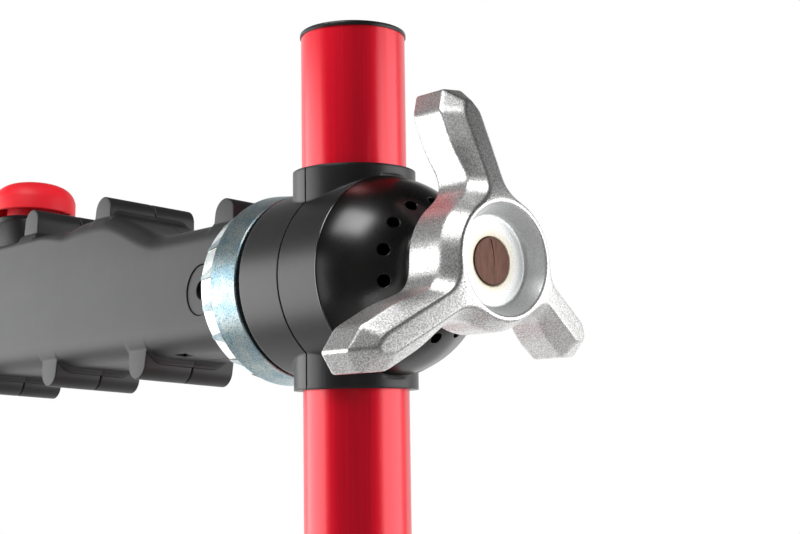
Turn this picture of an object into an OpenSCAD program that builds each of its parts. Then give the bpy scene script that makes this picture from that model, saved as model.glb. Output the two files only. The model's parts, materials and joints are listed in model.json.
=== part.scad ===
// Folding bicycle repair stand: a telescoping mast on a tripod, with a clamp arm that turns on the mast's head.
// Millimetres, +Z up, origin on the floor on the mast's axis.
// The clamp arm points along -X and the head knob along +X.

/* [Mast] */
// Height of the head's turning axis above the floor
head_z = 1400; // [1300:1:1500]
// Outer diameter of the upper tube
upper_d = 38.1; // [35:0.1:41]
// Wall of the upper tube
upper_wall = 2.4; // [1.6:0.1:4]
// Length of the upper tube
upper_len = 900; // [750:5:1000]
// Height of the upper tube's end above the head's axis
upper_above = 89.6; // [60:0.1:120]
// Wall of the lower tube
lower_wall = 2; // [1.5:0.1:4]
// Height of the lower tube's top above the floor
lower_top = 1000; // [940:5:1080]
// Thickness of the bushes between the two tubes
bush_t = 1.2; // [0.8:0.1:3]
// Length of each bush
bush_len = 40; // [20:1:60]
// Height of the rim of the end plug and of the bush flanges
cap_h = 2.6; // [1.5:0.1:6]
// Height of the top cap's rim
top_cap_h = 1.8; // [1.2:0.1:4]
// How far the top cap stands proud of the tube's wall
cap_proud = 0.4; // [0.1:0.1:2]

/* [Quick release collars] */
// Wall of the clamp collars
collar_wall = 7; // [5:0.5:10]
// Height of the mast's clamp collar
collar_h = 48; // [36:1:70]
// Distance from a collar's outer wall to its bolt
lug_out = 13; // [11:0.5:18]
// Height of the lugs
lug_h = 26; // [22:1:34]
// Distance from the slit's middle to the outside of a lug
lug_half = 12; // [9:0.5:16]
// Width of the slit between the lugs
slit = 3; // [1:0.5:5]
// Diameter of the collar bolts
bolt_d = 8; // [6:0.5:9]
// Radius of the lever's cam
cam_r = 9; // [8:0.5:12]
// Length of the lever from its pin
lever_len = 78; // [60:1:100]
// Width of the lever
lever_w = 21; // [18:0.5:26]
// Thickness of the lever's handle
lever_t = 9; // [6:0.5:11]

/* [Tripod] */
// Angle between a spread leg and the mast
leg_spread = 48; // [40:1:55]
// Height of the leg pivots above the floor
leg_pivot_z = 540; // [500:5:600]
// Distance from the lower tube's wall to the leg and strut pivots
pivot_out = 33.75; // [32:0.25:42]
// Distance between pivots, the same along the leg and along the strut
link_len = 230; // [200:5:250]
// Outer diameter of the leg tubes
leg_d = 28; // [24:0.5:30]
// Wall of the leg tubes
leg_wall = 2; // [1.5:0.1:4]
// Diameter of the pivot pins
pin_d = 8; // [6:0.5:10]
// Thickness of the legs' top eyes
tang_w = 12; // [8:0.5:16]
// Thickness of the collar's ears
ear_t = 5; // [3:0.5:6]
// Radius of the rounded ends at the pivots
eye_r = 9.5; // [8:0.25:11]
// Wall of the strut hub round the tube
hub_wall = 8; // [5:0.5:10]
// Sheet thickness of the channel struts
strut_t = 3; // [2:0.5:4]
// Wall of the rubber feet
foot_wall = 4; // [2:0.5:8]
// Length of the rubber feet along the leg
foot_len = 60; // [40:1:90]

/* [Head] */
// Outer diameter of the housing
housing_d = 69.6; // [66:0.1:80]
// Wall of the housing beyond the mast, on the arm's side
inner_wall = 3.9; // [3:0.1:8]
// Wall of the housing beyond the mast, on the knob's side
outer_wall = 2.5; // [2:0.1:6]
// Wall of the housing's collars round the mast
neck_wall = 3.25; // [2:0.05:5]
// Distance from the head's axis to the ends of the collars
neck_reach = 39.3; // [37:0.1:48]
// Diameter of the hub that the lock ring screws on
hub_d = 62.6; // [61:0.1:64]
// Length of that hub
hub_len = 7.55; // [6:0.05:12]
// Gap between the housing and the lock ring
ring_gap = 3.05; // [1:0.05:5]
// Diameter of the lock ring's band at the housing's end
ring_d = 69.4; // [68:0.1:80]
// How much wider the band gets towards the arm
ring_flare = 3; // [0:0.1:6]
// Length of the castellated end
ring_end = 12; // [8:0.1:14]
// Diameter across the lands of the castellated end
land_d = 70; // [69:0.1:74]
// Diameter across the notch floors
notch_d = 67.4; // [65:0.1:68.5]
// Number of lands
land_n = 18; // [12:1:24]
// Width of a land at the end face
land_w = 2.4; // [1.5:0.1:4]
// Thickness of the friction disc
disc_t = 1.5; // [1:0.1:3]
// Thickness of the arm's turning flange
flange_t = 5.9; // [4:0.1:9]
// Diameter of the head stud
stud_d = 15.6; // [12:0.1:17]
// Radius of the dome
dome_r = 35.6; // [34:0.1:44]
// Depth of the dome's centre behind its rim
dome_sink = 6.45; // [4:0.05:8]
// Wall of the dome
dome_wall = 5; // [3:0.1:7]
// Groove between the housing and the dome
dome_groove = 0.7; // [0.3:0.05:2]
// Diameter of the dome's holes
hole_d = 4.4; // [3:0.1:5]
// Number of holes
hole_n = 14; // [8:1:16]
// Angle of the holes from the head's axis
hole_tilt = 41; // [39:0.5:48]
// Turn of the first hole from the near side
hole_turn = 13; // [0:0.5:25]
// Diameter of the boss that the knob bears on
boss_d = 34; // [28:0.5:42]
// Height of that boss above the dome's crown
boss_over = 2.6; // [1:0.1:6]
// Thickness of the knob washer
washer_t = 2.3; // [1:0.1:4]

/* [Head knob] */
// Diameter of the knob's hub
knob_d = 48; // [46:0.5:54]
// Depth of the knob's hub
knob_depth = 21.3; // [18:0.1:28]
// Outer diameter of the recess rim
rim_d = 40.6; // [39:0.1:46]
// Length of the bevel between hub and rim
rim_bevel = 5.7; // [3:0.1:8]
// Diameter of the recess at its rim
recess_d = 37.4; // [34:0.1:38.5]
// Diameter of the recess at its floor
recess_floor_d = 31; // [24:0.5:34]
// Depth of the recess
recess_depth = 7.7; // [4:0.1:10]
// Number of wings
wing_n = 3; // [2:1:5]
// Distance from the axis to the wing tips
wing_reach = 57.5; // [48:0.5:70]
// Width of a wing
wing_w = 14.6; // [13:0.1:20]
// Width of a wing's front face between its bevels
wing_face = 6.8; // [5:0.1:11]
// Thickness of a wing
wing_t = 20; // [16:0.5:22]
// Angle that the wings lean back
wing_sweep = 19; // [12:0.1:26]
// Turn of the knob about the head's axis
knob_turn = 4.6; // [-60:0.1:60]

/* [Clamp arm] */
// Turn of the arm about the head's axis
arm_turn = -3.6; // [-180:0.1:180]
// Width of the arm
arm_w = 46.4; // [44:0.1:50]
// Distance from the head's axis up to the arm's top, beside the lock ring
arm_top = 26.5; // [24:0.1:28]
// Distance from the head's axis down to the arm's underside
arm_low = 23.3; // [23:0.1:25]
// How much the arm's top rises towards the jaws
arm_rise = 13.2; // [10:0.1:20]
// Distance from the head's axis to the start of the rise
rise_at = 100; // [95:1:110]
// Length of the rise
rise_len = 50; // [35:1:60]
// Distance from the head's axis to the arm's end
arm_len = 300; // [292:1:340]
// Radius of the arm's long edges
arm_round = 7; // [3:0.5:10]
// Wall of the arm's shells
arm_wall = 5; // [3:0.1:6]
// Place of the joint between the two shells
split_y = 2.5; // [-4:0.1:4]
// Width of the cross ribs
rib_w = 11.2; // [7:0.1:12]
// Height of the top ribs above the arm
rib_h = 8; // [6:0.1:11]
// How much higher the third top rib stands
rib_more = 2.8; // [0:0.1:5]
// Depth of the bottom ribs below the arm
low_rib_h = 9.6; // [6:0.1:14]
// Distance from the button's block to the third top rib
rib_lead = 16; // [9:0.5:20]
// Distance from there to the second
top_rib_step = 67.8; // [56:0.1:74]
// Distance from the arm's end to the last bottom rib
low_rib_back = 43; // [36:1:60]
// Distance between the bottom ribs
low_rib_step = 73.6; // [50:0.1:80]
// Diameter of the arm's round throat inside the lock ring
throat_d = 46; // [42:0.5:46]
// Diameter of the barrel nut
barrel_d = 19.6; // [18:0.1:22]
// Distance from the lock ring to the barrel nut's axis
barrel_out = 15; // [13:0.1:18]
// Diameter of the arm screws
screw_d = 4; // [3:0.1:5]

/* [Release button] */
// Distance from the arm's end to the button
button_back = 42.5; // [38:0.5:54]
// Diameter of the button
button_d = 40; // [34:0.5:46]
// Height of the button
button_h = 16; // [13:0.1:20]
// Height of the button's straight side
button_side = 6; // [4:0.1:8]
// Travel of the button
button_travel = 6; // [5:0.1:6.5]
// Height of the button's block above the arm
block_h = 11.3; // [9.5:0.1:14]
// Length of the button's block
block_l = 56; // [50:1:62]
// Radius of the block's upright corners
block_round = 18; // [4:0.5:19]
// Diameter of the button's stem
stem_d = 11; // [10:0.5:15]
// Diameter of the cross pin that keeps the stem in
keeper_d = 6; // [5:0.1:7.2]
// Wire of the button's spring
wire_d = 1.8; // [1:0.1:2.2]
// Turns of the button's spring
spring_turns = 3; // [2:1:4]
// Length of the half nut along the spindle
half_nut_l = 20; // [14:1:26]

/* [Jaws] */
// Diameter of the seat post that the pads hold
post_d = 31.8; // [27:0.1:34]
// Gap between the pads when they hold it
pad_gap = 8; // [4:0.5:12]
// Thickness of a pad
pad_t = 16; // [15:0.5:20]
// Height of a pad
pad_h = 42; // [38:1:50]
// Thickness of a jaw
jaw_t = 17; // [14:0.5:22]
// Radius of a jaw's edges
jaw_round = 8; // [4:0.5:10]
// Diameter of the spindle
spindle_d = 16; // [14:0.5:17]
// Room between the spindle and the post
post_over = 4.1; // [3:0.1:8]
// Diameter of the guide rods
rod_d = 8; // [6:0.5:8.5]
// Distance from the spindle to a guide rod, sideways
rod_side = 13.6; // [13:0.1:14]
// Distance from the spindle down to the guide rods
rod_drop = 13.6; // [13:0.1:14]
// Length of the guide rods inside the arm
rod_in = 100; // [80:1:110]
// Diameter of the spindle's hand knob
handle_d = 50; // [40:1:60]
// Thickness of the hand knob
handle_t = 22; // [16:1:30]
// Number of grips round the hand knob
handle_n = 6; // [4:1:8]

/* [Hidden] */
$fn = 96;

// Clearances: running fit on a radius, side play of a hinge, room round a bolt, cutting allowance
run = 0.05;
play = 0.3;
room = 0.3;
cut = 1;

// Mast radii and heights
upper_r = upper_d / 2;
bore_r = upper_r + bush_t + run;
lower_r = bore_r + lower_wall;
upper_top = head_z + upper_above;
upper_bottom = upper_top - upper_len;
collar_bottom = lower_top - collar_h;

// Tripod places. Leg and strut are of one length between pivots, so they fold by the same angle.
leg_n = 3;
pivot_r = lower_r + pivot_out;
leg_r = leg_d / 2;
pin_r = pin_d / 2;
hub_z = leg_pivot_z - 2 * link_len * cos(leg_spread);
hub_up = 2 * eye_r;
hub_down = 2.5 * eye_r;
lower_bottom = hub_z - hub_down;
saddle_w = leg_d + 2;
cheek_in = saddle_w / 2 + play;
cheek_out = cheek_in + strut_t;
head_of_pin = 2.5;
foot_r = leg_r + foot_wall;
foot_flat = 3;
foot_seat = 4;
foot_centre = (leg_pivot_z - foot_r + foot_flat) / cos(leg_spread);
leg_top = 2.2 * eye_r;
leg_bolt_z = leg_pivot_z + eye_r + lever_t / 2 + 8;

// Head stations along X, outwards from the mast
x_in = upper_r + inner_wall;
x_out = upper_r + outer_wall;
x_ring = x_in + ring_gap;
x_hub = x_in + hub_len;
x_disc = x_hub + disc_t;
x_flange = x_disc + play;
x_lip = x_flange + flange_t + play;
x_ring_end = x_lip + ring_end;
x_barrel = x_ring_end + barrel_out;
x_rim = x_out + dome_groove;
x_dome = x_rim - dome_sink;
x_boss = x_dome + dome_r + boss_over;
x_knob = x_boss + washer_t + 2 * run;
x_front = x_knob + knob_depth;
x_floor = x_front - recess_depth;
recess_slope = (recess_d - recess_floor_d) / 2 / recess_depth;
housing_r = housing_d / 2;
hub_r = hub_d / 2;
stud_r = stud_d / 2;
barrel_r = barrel_d / 2;
ring_bore = hub_r + 0.1;
flange_r = ring_bore - play;

// Arm stations and sections
arm_high = arm_top + arm_rise;
arm_side = arm_w / 2;
throat_r = throat_d / 2;
lip_r = throat_r + 1.4;
x_throat = x_ring_end + play;
x_first_rib = x_ring_end + 3 * play + rib_w / 2;
x_pocket = x_barrel + barrel_r + 16;
end_wall = 20;
x_high = rise_at + rise_len;
button_at = arm_len - button_back;
third_rib = button_at - block_l / 2 - rib_lead;
second_rib = third_rib - top_rib_step;
last_low_rib = arm_len - low_rib_back;
block_top = arm_high + block_h;
block_w = arm_w - 6;
screw_r = screw_d / 2;
screw_head_r = 2 * screw_r;
// Arm screws as [distance from the head's axis, height above the arm's axis]
screw_places = [[x_pocket - 9, arm_top - 11], [x_pocket - 9, 11 - arm_low], [x_pocket + 26, 0],
                [button_at - 50, arm_high - 12], [arm_len - 10, arm_high - 8]];

// Release stations
stem_r = stem_d / 2;
spindle_r = spindle_d / 2;
keeper_r = keeper_d / 2;
x_keeper = button_at - stem_r - keeper_r + 1.5;
z_keeper = arm_high + block_h / 2;
button_z = block_top + button_travel + 0.4;
yoke_wall = 3;
yoke_r = spindle_r + yoke_wall;
spring_r = stem_r + wire_d / 2 + 0.8;
spring_sink = 8;
spring_top = button_z + spring_sink;

// Jaw stations
post_r = post_d / 2;
post_z = spindle_r + post_over + post_r;
x_pad = arm_len + jaw_t;
x_post = x_pad + pad_t + pad_gap / 2;
x_front_pad = x_post + pad_gap / 2;
x_front_jaw = x_front_pad + pad_t;
x_front_end = x_front_jaw + jaw_t;
x_handle = x_front_end + play;
handle_hub = 6;
x_handle_end = x_handle + handle_hub + handle_t;
jaw_top = post_z + pad_h / 2 + 3;
rod_r = rod_d / 2;
clip_t = 2.4;
clip_r = spindle_r + 3.5;

// Screws: depth of their sunk heads, and the rear jaw screws' place beside the spindle and in the arm's end wall
screw_sink = 4;
screw_reach = arm_side - 9;
jaw_screw_side = rod_side + 1.5;
jaw_screw_z = arm_top - 7;
jaw_screw_in = 14;

// Placing helpers
module at_head() {
    translate([0, 0, head_z]) children();
}

module at_arm() {
    at_head() rotate([arm_turn, 0, 0]) children();
}

module at_leg(i) {
    rotate([0, 0, 180 + (i - 1) * 360 / leg_n]) children();
}

module each_leg() {
    for (i = [1:leg_n]) at_leg(i) children();
}

// A spread leg's own frame: it runs down -Z from its pivot
module on_leg(i) {
    at_leg(i) translate([pivot_r, 0, leg_pivot_z]) rotate([0, -leg_spread, 0]) children();
}

// A spread strut's own frame: it runs up +Z from its pivot on the hub
module on_strut(i) {
    at_leg(i) translate([pivot_r, 0, hub_z]) rotate([0, leg_spread, 0]) children();
}

// Round bars along X and Y, between two stations
module bar_x(x0, x1, r) {
    translate([x0, 0, 0]) rotate([0, 90, 0]) cylinder(h = x1 - x0, r = r);
}

module bar_y(y0, y1, r) {
    translate([0, y0, 0]) rotate([-90, 0, 0]) cylinder(h = y1 - y0, r = r);
}

// A flat outline in Y and Z, drawn out along X
module along_x(x0, x1) {
    translate([x0, 0, 0]) rotate([90, 0, 90]) linear_extrude(x1 - x0) children();
}

// A flat outline in X and Z, drawn out along Y
module along_y(y0, y1) {
    translate([0, y1, 0]) rotate([90, 0, 0]) linear_extrude(y1 - y0) children();
}

module round_rect(low, high, r) {
    translate([low[0] + r, low[1]]) square([high[0] - low[0] - 2 * r, high[1] - low[1]]);
    translate([low[0], low[1] + r]) square([high[0] - low[0], high[1] - low[1] - 2 * r]);
    for (x = [low[0] + r, high[0] - r], y = [low[1] + r, high[1] - r]) translate([x, y]) circle(r);
}

module tube(z0, z1, outer, inner) {
    translate([0, 0, z0]) difference() {
        cylinder(h = z1 - z0, r = outer);
        translate([0, 0, -cut]) cylinder(h = z1 - z0 + 2 * cut, r = inner);
    }
}

// Mast
module lower_mast_tube() {
    color("firebrick") difference() {
        tube(lower_bottom, lower_top, lower_r, bore_r);
        translate([0, -slit / 2, collar_bottom]) cube([lower_r + cut, slit, collar_h + cut]);
    }
}

module mast_end_plug() {
    color("black") {
        translate([0, 0, lower_bottom - cap_h]) cylinder(h = cap_h, r = lower_r);
        tube(lower_bottom, lower_bottom + hub_up, bore_r, bore_r - 3);
    }
}

module upper_mast_tube() {
    color("red") difference() {
        tube(upper_bottom, upper_top, upper_r, upper_r - upper_wall);
        at_head() bar_x(-upper_d, upper_d, stud_r + room);
    }
}

module mast_top_cap() {
    edge = top_cap_h / 2;
    color("black") translate([0, 0, upper_top]) rotate_extrude() {
        square([upper_r + cap_proud, top_cap_h - edge]);
        square([upper_r + cap_proud - edge, top_cap_h]);
        translate([upper_r + cap_proud - edge, top_cap_h - edge]) circle(edge);
        translate([0, -bush_len / 2]) square([upper_r - upper_wall, bush_len / 2 + cut / 2]);
    }
}

module mast_foot_bush() {
    color("dimgray") {
        tube(upper_bottom, upper_bottom + bush_len, upper_r + bush_t, upper_r);
        tube(upper_bottom - cap_h, upper_bottom, upper_r + bush_t, upper_r - upper_wall);
    }
}

module mast_collar_bush() {
    color("dimgray") {
        tube(lower_top - bush_len, lower_top, bore_r, upper_r + run);
        tube(lower_top, lower_top + cap_h, lower_r, upper_r + run);
    }
}

// A slit collar with two lugs on its +X side, its bolt hole at the given height
module collar_body(z0, z1, bolt_z, inner) {
    outer = lower_r + collar_wall;
    bolt_x = outer + lug_out;
    difference() {
        union() {
            translate([0, 0, z0]) cylinder(h = z1 - z0, r = outer);
            translate([0, -lug_half, bolt_z - lug_h / 2]) cube([bolt_x, 2 * lug_half, lug_h]);
            translate([bolt_x, 0, bolt_z]) bar_y(-lug_half, lug_half, lug_h / 2);
        }
        translate([0, 0, z0 - cut]) cylinder(h = z1 - z0 + 2 * cut, r = inner);
        translate([0, -slit / 2, z0 - cut]) cube([2 * bolt_x, slit, z1 - z0 + 2 * cut]);
        translate([bolt_x, 0, bolt_z]) bar_y(-lug_half - cut, lug_half + cut, bolt_d / 2 + room);
    }
}

// The lever's pin lies along X at the bolt's end
module at_lever_pin(bolt_z) {
    translate([lower_r + collar_wall + lug_out, -lug_half - play - cam_r, bolt_z]) children();
}

module eye_bolt(bolt_z) {
    eye_w = lever_w / 2 - 1;
    color("silver") at_lever_pin(bolt_z) {
        bar_y(0, cam_r + play + 2 * lug_half + bolt_d, bolt_d / 2);
        bar_x(-eye_w / 2, eye_w / 2, bolt_d / 2 + 2);
        bar_x(-lever_w / 2, lever_w / 2, bolt_d / 2 - 1);
    }
}

module bolt_nut(bolt_z) {
    color("silver") translate([lower_r + collar_wall + lug_out, 0, bolt_z]) difference() {
        union() {
            bar_y(lug_half, lug_half + bolt_d, bolt_d);
            bar_y(lug_half + bolt_d, lug_half + 1.5 * bolt_d, 0.8 * bolt_d);
        }
        bar_y(lug_half - cut, lug_half + bolt_d, bolt_d / 2);
    }
}

// A cam lever: two cheeks on the pin and a handle that hangs down or, clear of the legs, stands up
module cam_lever(bolt_z, stands) {
    fork = lever_w / 2 - 1 + 2 * play;
    color("black") at_lever_pin(bolt_z) difference() {
        union() {
            bar_x(-lever_w / 2, lever_w / 2, cam_r);
            translate([-lever_w / 2, -lever_t / 2, stands ? 0 : -lever_len]) cube([lever_w, lever_t, lever_len]);
            translate([0, 0, stands ? lever_len : -lever_len]) bar_y(-lever_t / 2, lever_t / 2, lever_w / 2);
        }
        translate([-fork / 2, -2 * cam_r, -cam_r - 2]) cube([fork, 4 * cam_r, 2 * cam_r + 4]);
        bar_x(-lever_w, lever_w, bolt_d / 2 - 1 + run);
    }
}

module mast_collar() {
    color("dimgray") collar_body(collar_bottom, lower_top, lower_top - collar_h / 2, lower_r);
}

// Tripod
module leg_collar() {
    ear_in = tang_w / 2 + play;
    color("dimgray") difference() {
        union() {
            collar_body(leg_pivot_z - 2 * eye_r, leg_bolt_z + lug_h / 2, leg_bolt_z, lower_r + run);
            each_leg() for (side = [-1, 1]) {
                y0 = side > 0 ? ear_in : -ear_in - ear_t;
                translate([lower_r + collar_wall - 2, y0, leg_pivot_z - eye_r])
                    cube([pivot_out - collar_wall + 2, ear_t, 2 * eye_r]);
                translate([pivot_r, 0, leg_pivot_z]) bar_y(y0, y0 + ear_t, eye_r);
            }
        }
        each_leg() translate([pivot_r, 0, leg_pivot_z]) bar_y(-2 * saddle_w, 2 * saddle_w, pin_r);
    }
}

module headed_pin(half) {
    bar_y(-half, half, pin_r);
    bar_y(half, half + head_of_pin, pin_r + 2);
    bar_y(-half - head_of_pin, -half, pin_r + 2);
}

module leg_pins() {
    color("silver") each_leg() translate([pivot_r, 0, leg_pivot_z]) headed_pin(tang_w / 2 + play + ear_t);
}

module strut_pins() {
    color("silver") each_leg() translate([pivot_r, 0, hub_z]) headed_pin(cheek_out + play);
}

module strut_hub() {
    color("dimgray") difference() {
        union() {
            translate([0, 0, lower_bottom]) cylinder(h = hub_up + hub_down, r = lower_r + hub_wall);
            each_leg() {
                translate([lower_r + 2, -saddle_w / 2, hub_z - eye_r]) cube([pivot_out - 2, saddle_w, 2 * eye_r]);
                translate([pivot_r, 0, hub_z]) bar_y(-saddle_w / 2, saddle_w / 2, eye_r);
            }
        }
        translate([0, 0, lower_bottom - cut]) cylinder(h = hub_up + hub_down + 2 * cut, r = lower_r);
        each_leg() translate([pivot_r, 0, hub_z]) bar_y(-saddle_w, saddle_w, pin_r);
    }
}

module leg_tube(i) {
    color("firebrick") on_leg(i) tube(foot_seat - foot_centre, -leg_top, leg_r, leg_r - leg_wall);
}

module leg_top_eye(i) {
    plug = leg_r - leg_wall;
    color("dimgray") on_leg(i) difference() {
        union() {
            bar_y(-tang_w / 2, tang_w / 2, eye_r);
            translate([-eye_r, -tang_w / 2, -leg_top]) cube([2 * eye_r, tang_w, leg_top]);
            translate([0, 0, -leg_top]) cylinder(h = 4, r = leg_r);
            translate([0, 0, -leg_top - foot_len / 2]) cylinder(h = foot_len / 2 + cut, r = plug);
        }
        bar_y(-tang_w, tang_w, pin_r + run);
    }
}

// The saddle that carries the strut's rivet, flat on both sides
module leg_saddle(i) {
    saddle_len = 4 * eye_r;
    color("dimgray") on_leg(i) translate([0, 0, -link_len]) difference() {
        intersection() {
            translate([0, 0, -saddle_len / 2]) cylinder(h = saddle_len, r = leg_r + 4);
            translate([-2 * leg_r, -saddle_w / 2, -saddle_len]) cube([4 * leg_r, saddle_w, 2 * saddle_len]);
        }
        translate([0, 0, -saddle_len]) cylinder(h = 2 * saddle_len, r = leg_r);
    }
}

module foot(i) {
    color("black") difference() {
        on_leg(i) {
            translate([0, 0, -foot_centre]) cylinder(h = foot_len, r = foot_r);
            translate([0, 0, -foot_centre]) sphere(foot_r);
        }
        on_leg(i) translate([0, 0, foot_seat - foot_centre]) cylinder(h = foot_len, r = leg_r);
        at_leg(i) translate([0, -foot_r, -2 * foot_r]) cube([2 * foot_centre, 2 * foot_r, 2 * foot_r]);
    }
}

// A pressed channel: two cheeks outside the leg, with a web on the mast's side
module strut(i) {
    web_in = leg_r + 1;
    web_out = web_in + strut_t;
    boss = pin_r + 2;
    color("black") on_strut(i) difference() {
        union() {
            for (y0 = [cheek_in, -cheek_out]) along_y(y0, y0 + strut_t) {
                circle(eye_r);
                translate([0, link_len]) circle(eye_r);
                polygon([[eye_r, 0], [eye_r, link_len], [-eye_r, link_len], [-web_out, link_len - 55],
                         [-web_out, 50], [-eye_r, 0]]);
            }
            translate([-web_out, -cheek_out, 50]) cube([strut_t, 2 * cheek_out, link_len - 105]);
            for (y0 = [cheek_out, -cheek_out - head_of_pin])
                translate([0, 0, link_len]) bar_y(y0, y0 + head_of_pin, boss);
        }
        bar_y(-2 * cheek_out, 2 * cheek_out, pin_r + run);
    }
}

// Head housing, split on the mast's middle plane
module housing_half(x0, x1) {
    difference() {
        union() {
            at_head() bar_x(x0, x1, housing_r);
            intersection() {
                translate([0, 0, head_z - neck_reach]) cylinder(h = 2 * neck_reach, r = upper_r + neck_wall);
                translate([x0 < 0 ? -housing_r : 0, -housing_r, head_z - 2 * neck_reach])
                    cube([housing_r, housing_d, 4 * neck_reach]);
            }
        }
        translate([0, 0, head_z - 2 * neck_reach]) cylinder(h = 4 * neck_reach, r = upper_r);
    }
}

module housing_inner() {
    color("#2b2b2d") difference() {
        union() {
            housing_half(-x_in, 0);
            at_head() bar_x(-x_hub, -upper_r, hub_r);
        }
        translate([0, 0, head_z - 2 * neck_reach]) cylinder(h = 4 * neck_reach, r = upper_r);
        at_head() bar_x(-x_hub - cut, cut, stud_r + run);
    }
}

module housing_outer() {
    color("#2b2b2d") difference() {
        housing_half(0, x_out);
        at_head() bar_x(-cut, x_out + cut, stud_r + run);
        at_head() bar_x(x_out, 2 * upper_r, dome_r + play);
    }
}

module dome_cover() {
    core_r = stud_r + 5;
    color("#151515") at_head() difference() {
        rotate([0, 90, 0]) rotate_extrude() difference() {
            union() {
                intersection() {
                    translate([0, x_dome]) difference() {
                        circle(dome_r);
                        circle(dome_r - dome_wall);
                    }
                    translate([0, x_rim]) square(2 * dome_r);
                }
                translate([0, x_out]) square([core_r, x_boss - x_out]);
                difference() {
                    translate([0, x_rim]) square([boss_d / 2, x_boss - x_rim]);
                    translate([0, x_dome]) circle(dome_r - dome_wall);
                }
            }
            translate([-cut, 0]) square([cut + stud_r + run, 2 * x_boss]);
        }
        for (k = [0:hole_n - 1]) rotate([hole_turn + k * 360 / hole_n, 0, 0]) translate([x_dome, 0, 0])
            rotate([0, 0, -hole_tilt]) bar_x(dome_r - dome_wall - cut, dome_r + cut, hole_d / 2);
    }
}

// A screwed ring that keeps the arm's flange against the housing
module lock_ring() {
    land_root = 2.4 * land_w;
    color("lightsteelblue") at_head() difference() {
        union() {
            translate([-x_lip, 0, 0]) rotate([0, 90, 0])
                cylinder(h = x_lip - x_ring, r1 = (ring_d + ring_flare) / 2, r2 = ring_d / 2);
            bar_x(-x_ring_end, -x_lip, notch_d / 2);
            intersection() {
                bar_x(-x_ring_end, -x_lip, land_d / 2);
                for (k = [0:land_n - 1]) rotate([5 - k * 360 / land_n, 0, 0]) rotate([90, 0, 0])
                    linear_extrude(ring_d) polygon([[-x_ring_end, -land_w / 2], [-x_ring_end, land_w / 2],
                        [-x_lip, land_root / 2], [-x_lip, -land_root / 2]]);
            }
        }
        bar_x(-x_lip, -x_ring + cut, ring_bore);
        bar_x(-x_ring_end - cut, -x_ring, lip_r);
    }
}

module friction_disc() {
    color("saddlebrown") at_head() difference() {
        bar_x(-x_disc, -x_hub, flange_r);
        bar_x(-x_disc - cut, -x_hub + cut, stud_r + room);
    }
}

module head_stud() {
    color("sienna") at_arm() bar_x(-x_pocket + 4, x_floor + 0.2, stud_r);
}

module barrel_nut() {
    dimple_r = 3.8;
    color("#202022") at_arm() difference() {
        translate([-x_barrel, 0, 0]) bar_y(-arm_side + 0.4, arm_side - 0.4, barrel_r);
        bar_x(-x_barrel - barrel_d, -x_barrel + barrel_d, stud_r);
        for (side = [-1, 1]) translate([-x_barrel, side * arm_side, 0]) bar_y(-5, 5, dimple_r);
    }
}

module knob_washer() {
    color("silver") at_head() difference() {
        bar_x(x_boss + run, x_boss + run + washer_t, boss_d / 2 - 1);
        bar_x(x_boss, x_knob, stud_r + room);
    }
}

// One wing: its side outline, cut to the bevelled section that runs along its lean
module knob_wing() {
    root = recess_d / 2;
    shift = tan(wing_sweep);
    front = x_front;
    bevel = (wing_w - wing_face) / 2;
    tip = 4.5;
    long = 2 * wing_reach;
    intersection() {
        along_y(-wing_w / 2, wing_w / 2)
            polygon([[front, root], [front - (wing_reach - tip - root) * shift, wing_reach - tip],
                     [front - (wing_reach - root) * shift - tip, wing_reach],
                     [front - (wing_reach - root) * shift - wing_t + tip, wing_reach],
                     [front - (wing_reach - tip - root) * shift - wing_t, wing_reach - tip], [front - wing_t, root]]);
        translate([front, 0, root]) rotate([0, -wing_sweep, 0]) translate([0, 0, -long / 2]) linear_extrude(long)
            polygon([[0, -wing_face / 2], [0, wing_face / 2], [-bevel, wing_w / 2], [-2 * wing_t, wing_w / 2],
                     [-2 * wing_t, -wing_w / 2], [-bevel, -wing_w / 2]]);
    }
}

module head_knob() {
    color("gainsboro") at_head() difference() {
        union() {
            bar_x(x_knob, x_front - rim_bevel, knob_d / 2);
            translate([x_front - rim_bevel, 0, 0]) rotate([0, 90, 0])
                cylinder(h = rim_bevel, r1 = knob_d / 2, r2 = rim_d / 2);
            for (k = [0:wing_n - 1]) rotate([knob_turn + k * 360 / wing_n, 0, 0]) knob_wing();
        }
        translate([x_floor, 0, 0]) rotate([0, 90, 0])
            cylinder(h = recess_depth + cut, r1 = recess_floor_d / 2, r2 = recess_d / 2 + cut * recess_slope);
        bar_x(x_knob - cut, x_front, stud_r + run);
    }
}

// Clamp arm. Its top rises from the ring's end to the jaws' end on a smooth step.
function step(t) = t * t * (3 - 2 * t);
function arm_height(x) = arm_top + arm_rise * step((x - rise_at) / rise_len);

module arm_section(top) {
    round_rect([-arm_side, -arm_low], [arm_side, top], arm_round);
}

module arm_ribs() {
    second_top = arm_height(min(max(second_rib, rise_at), x_high));
    for (rib = [[x_first_rib, arm_top], [second_rib, second_top], [third_rib, arm_high + rib_more]]) {
        z = rib[1] + rib_h - rib_w / 2;
        translate([-rib[0] - rib_w / 2, -arm_side, 0]) cube([rib_w, arm_w, z]);
        translate([-rib[0], 0, z]) bar_y(-arm_side, arm_side, rib_w / 2);
    }
    for (k = [0:2]) translate([k * low_rib_step - last_low_rib, 0, 0]) {
        z = arm_low + low_rib_h - rib_w / 2;
        translate([-rib_w / 2, -arm_side, -z]) cube([rib_w, arm_w, z]);
        translate([0, 0, -z]) bar_y(-arm_side, arm_side, rib_w / 2);
    }
}

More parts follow.
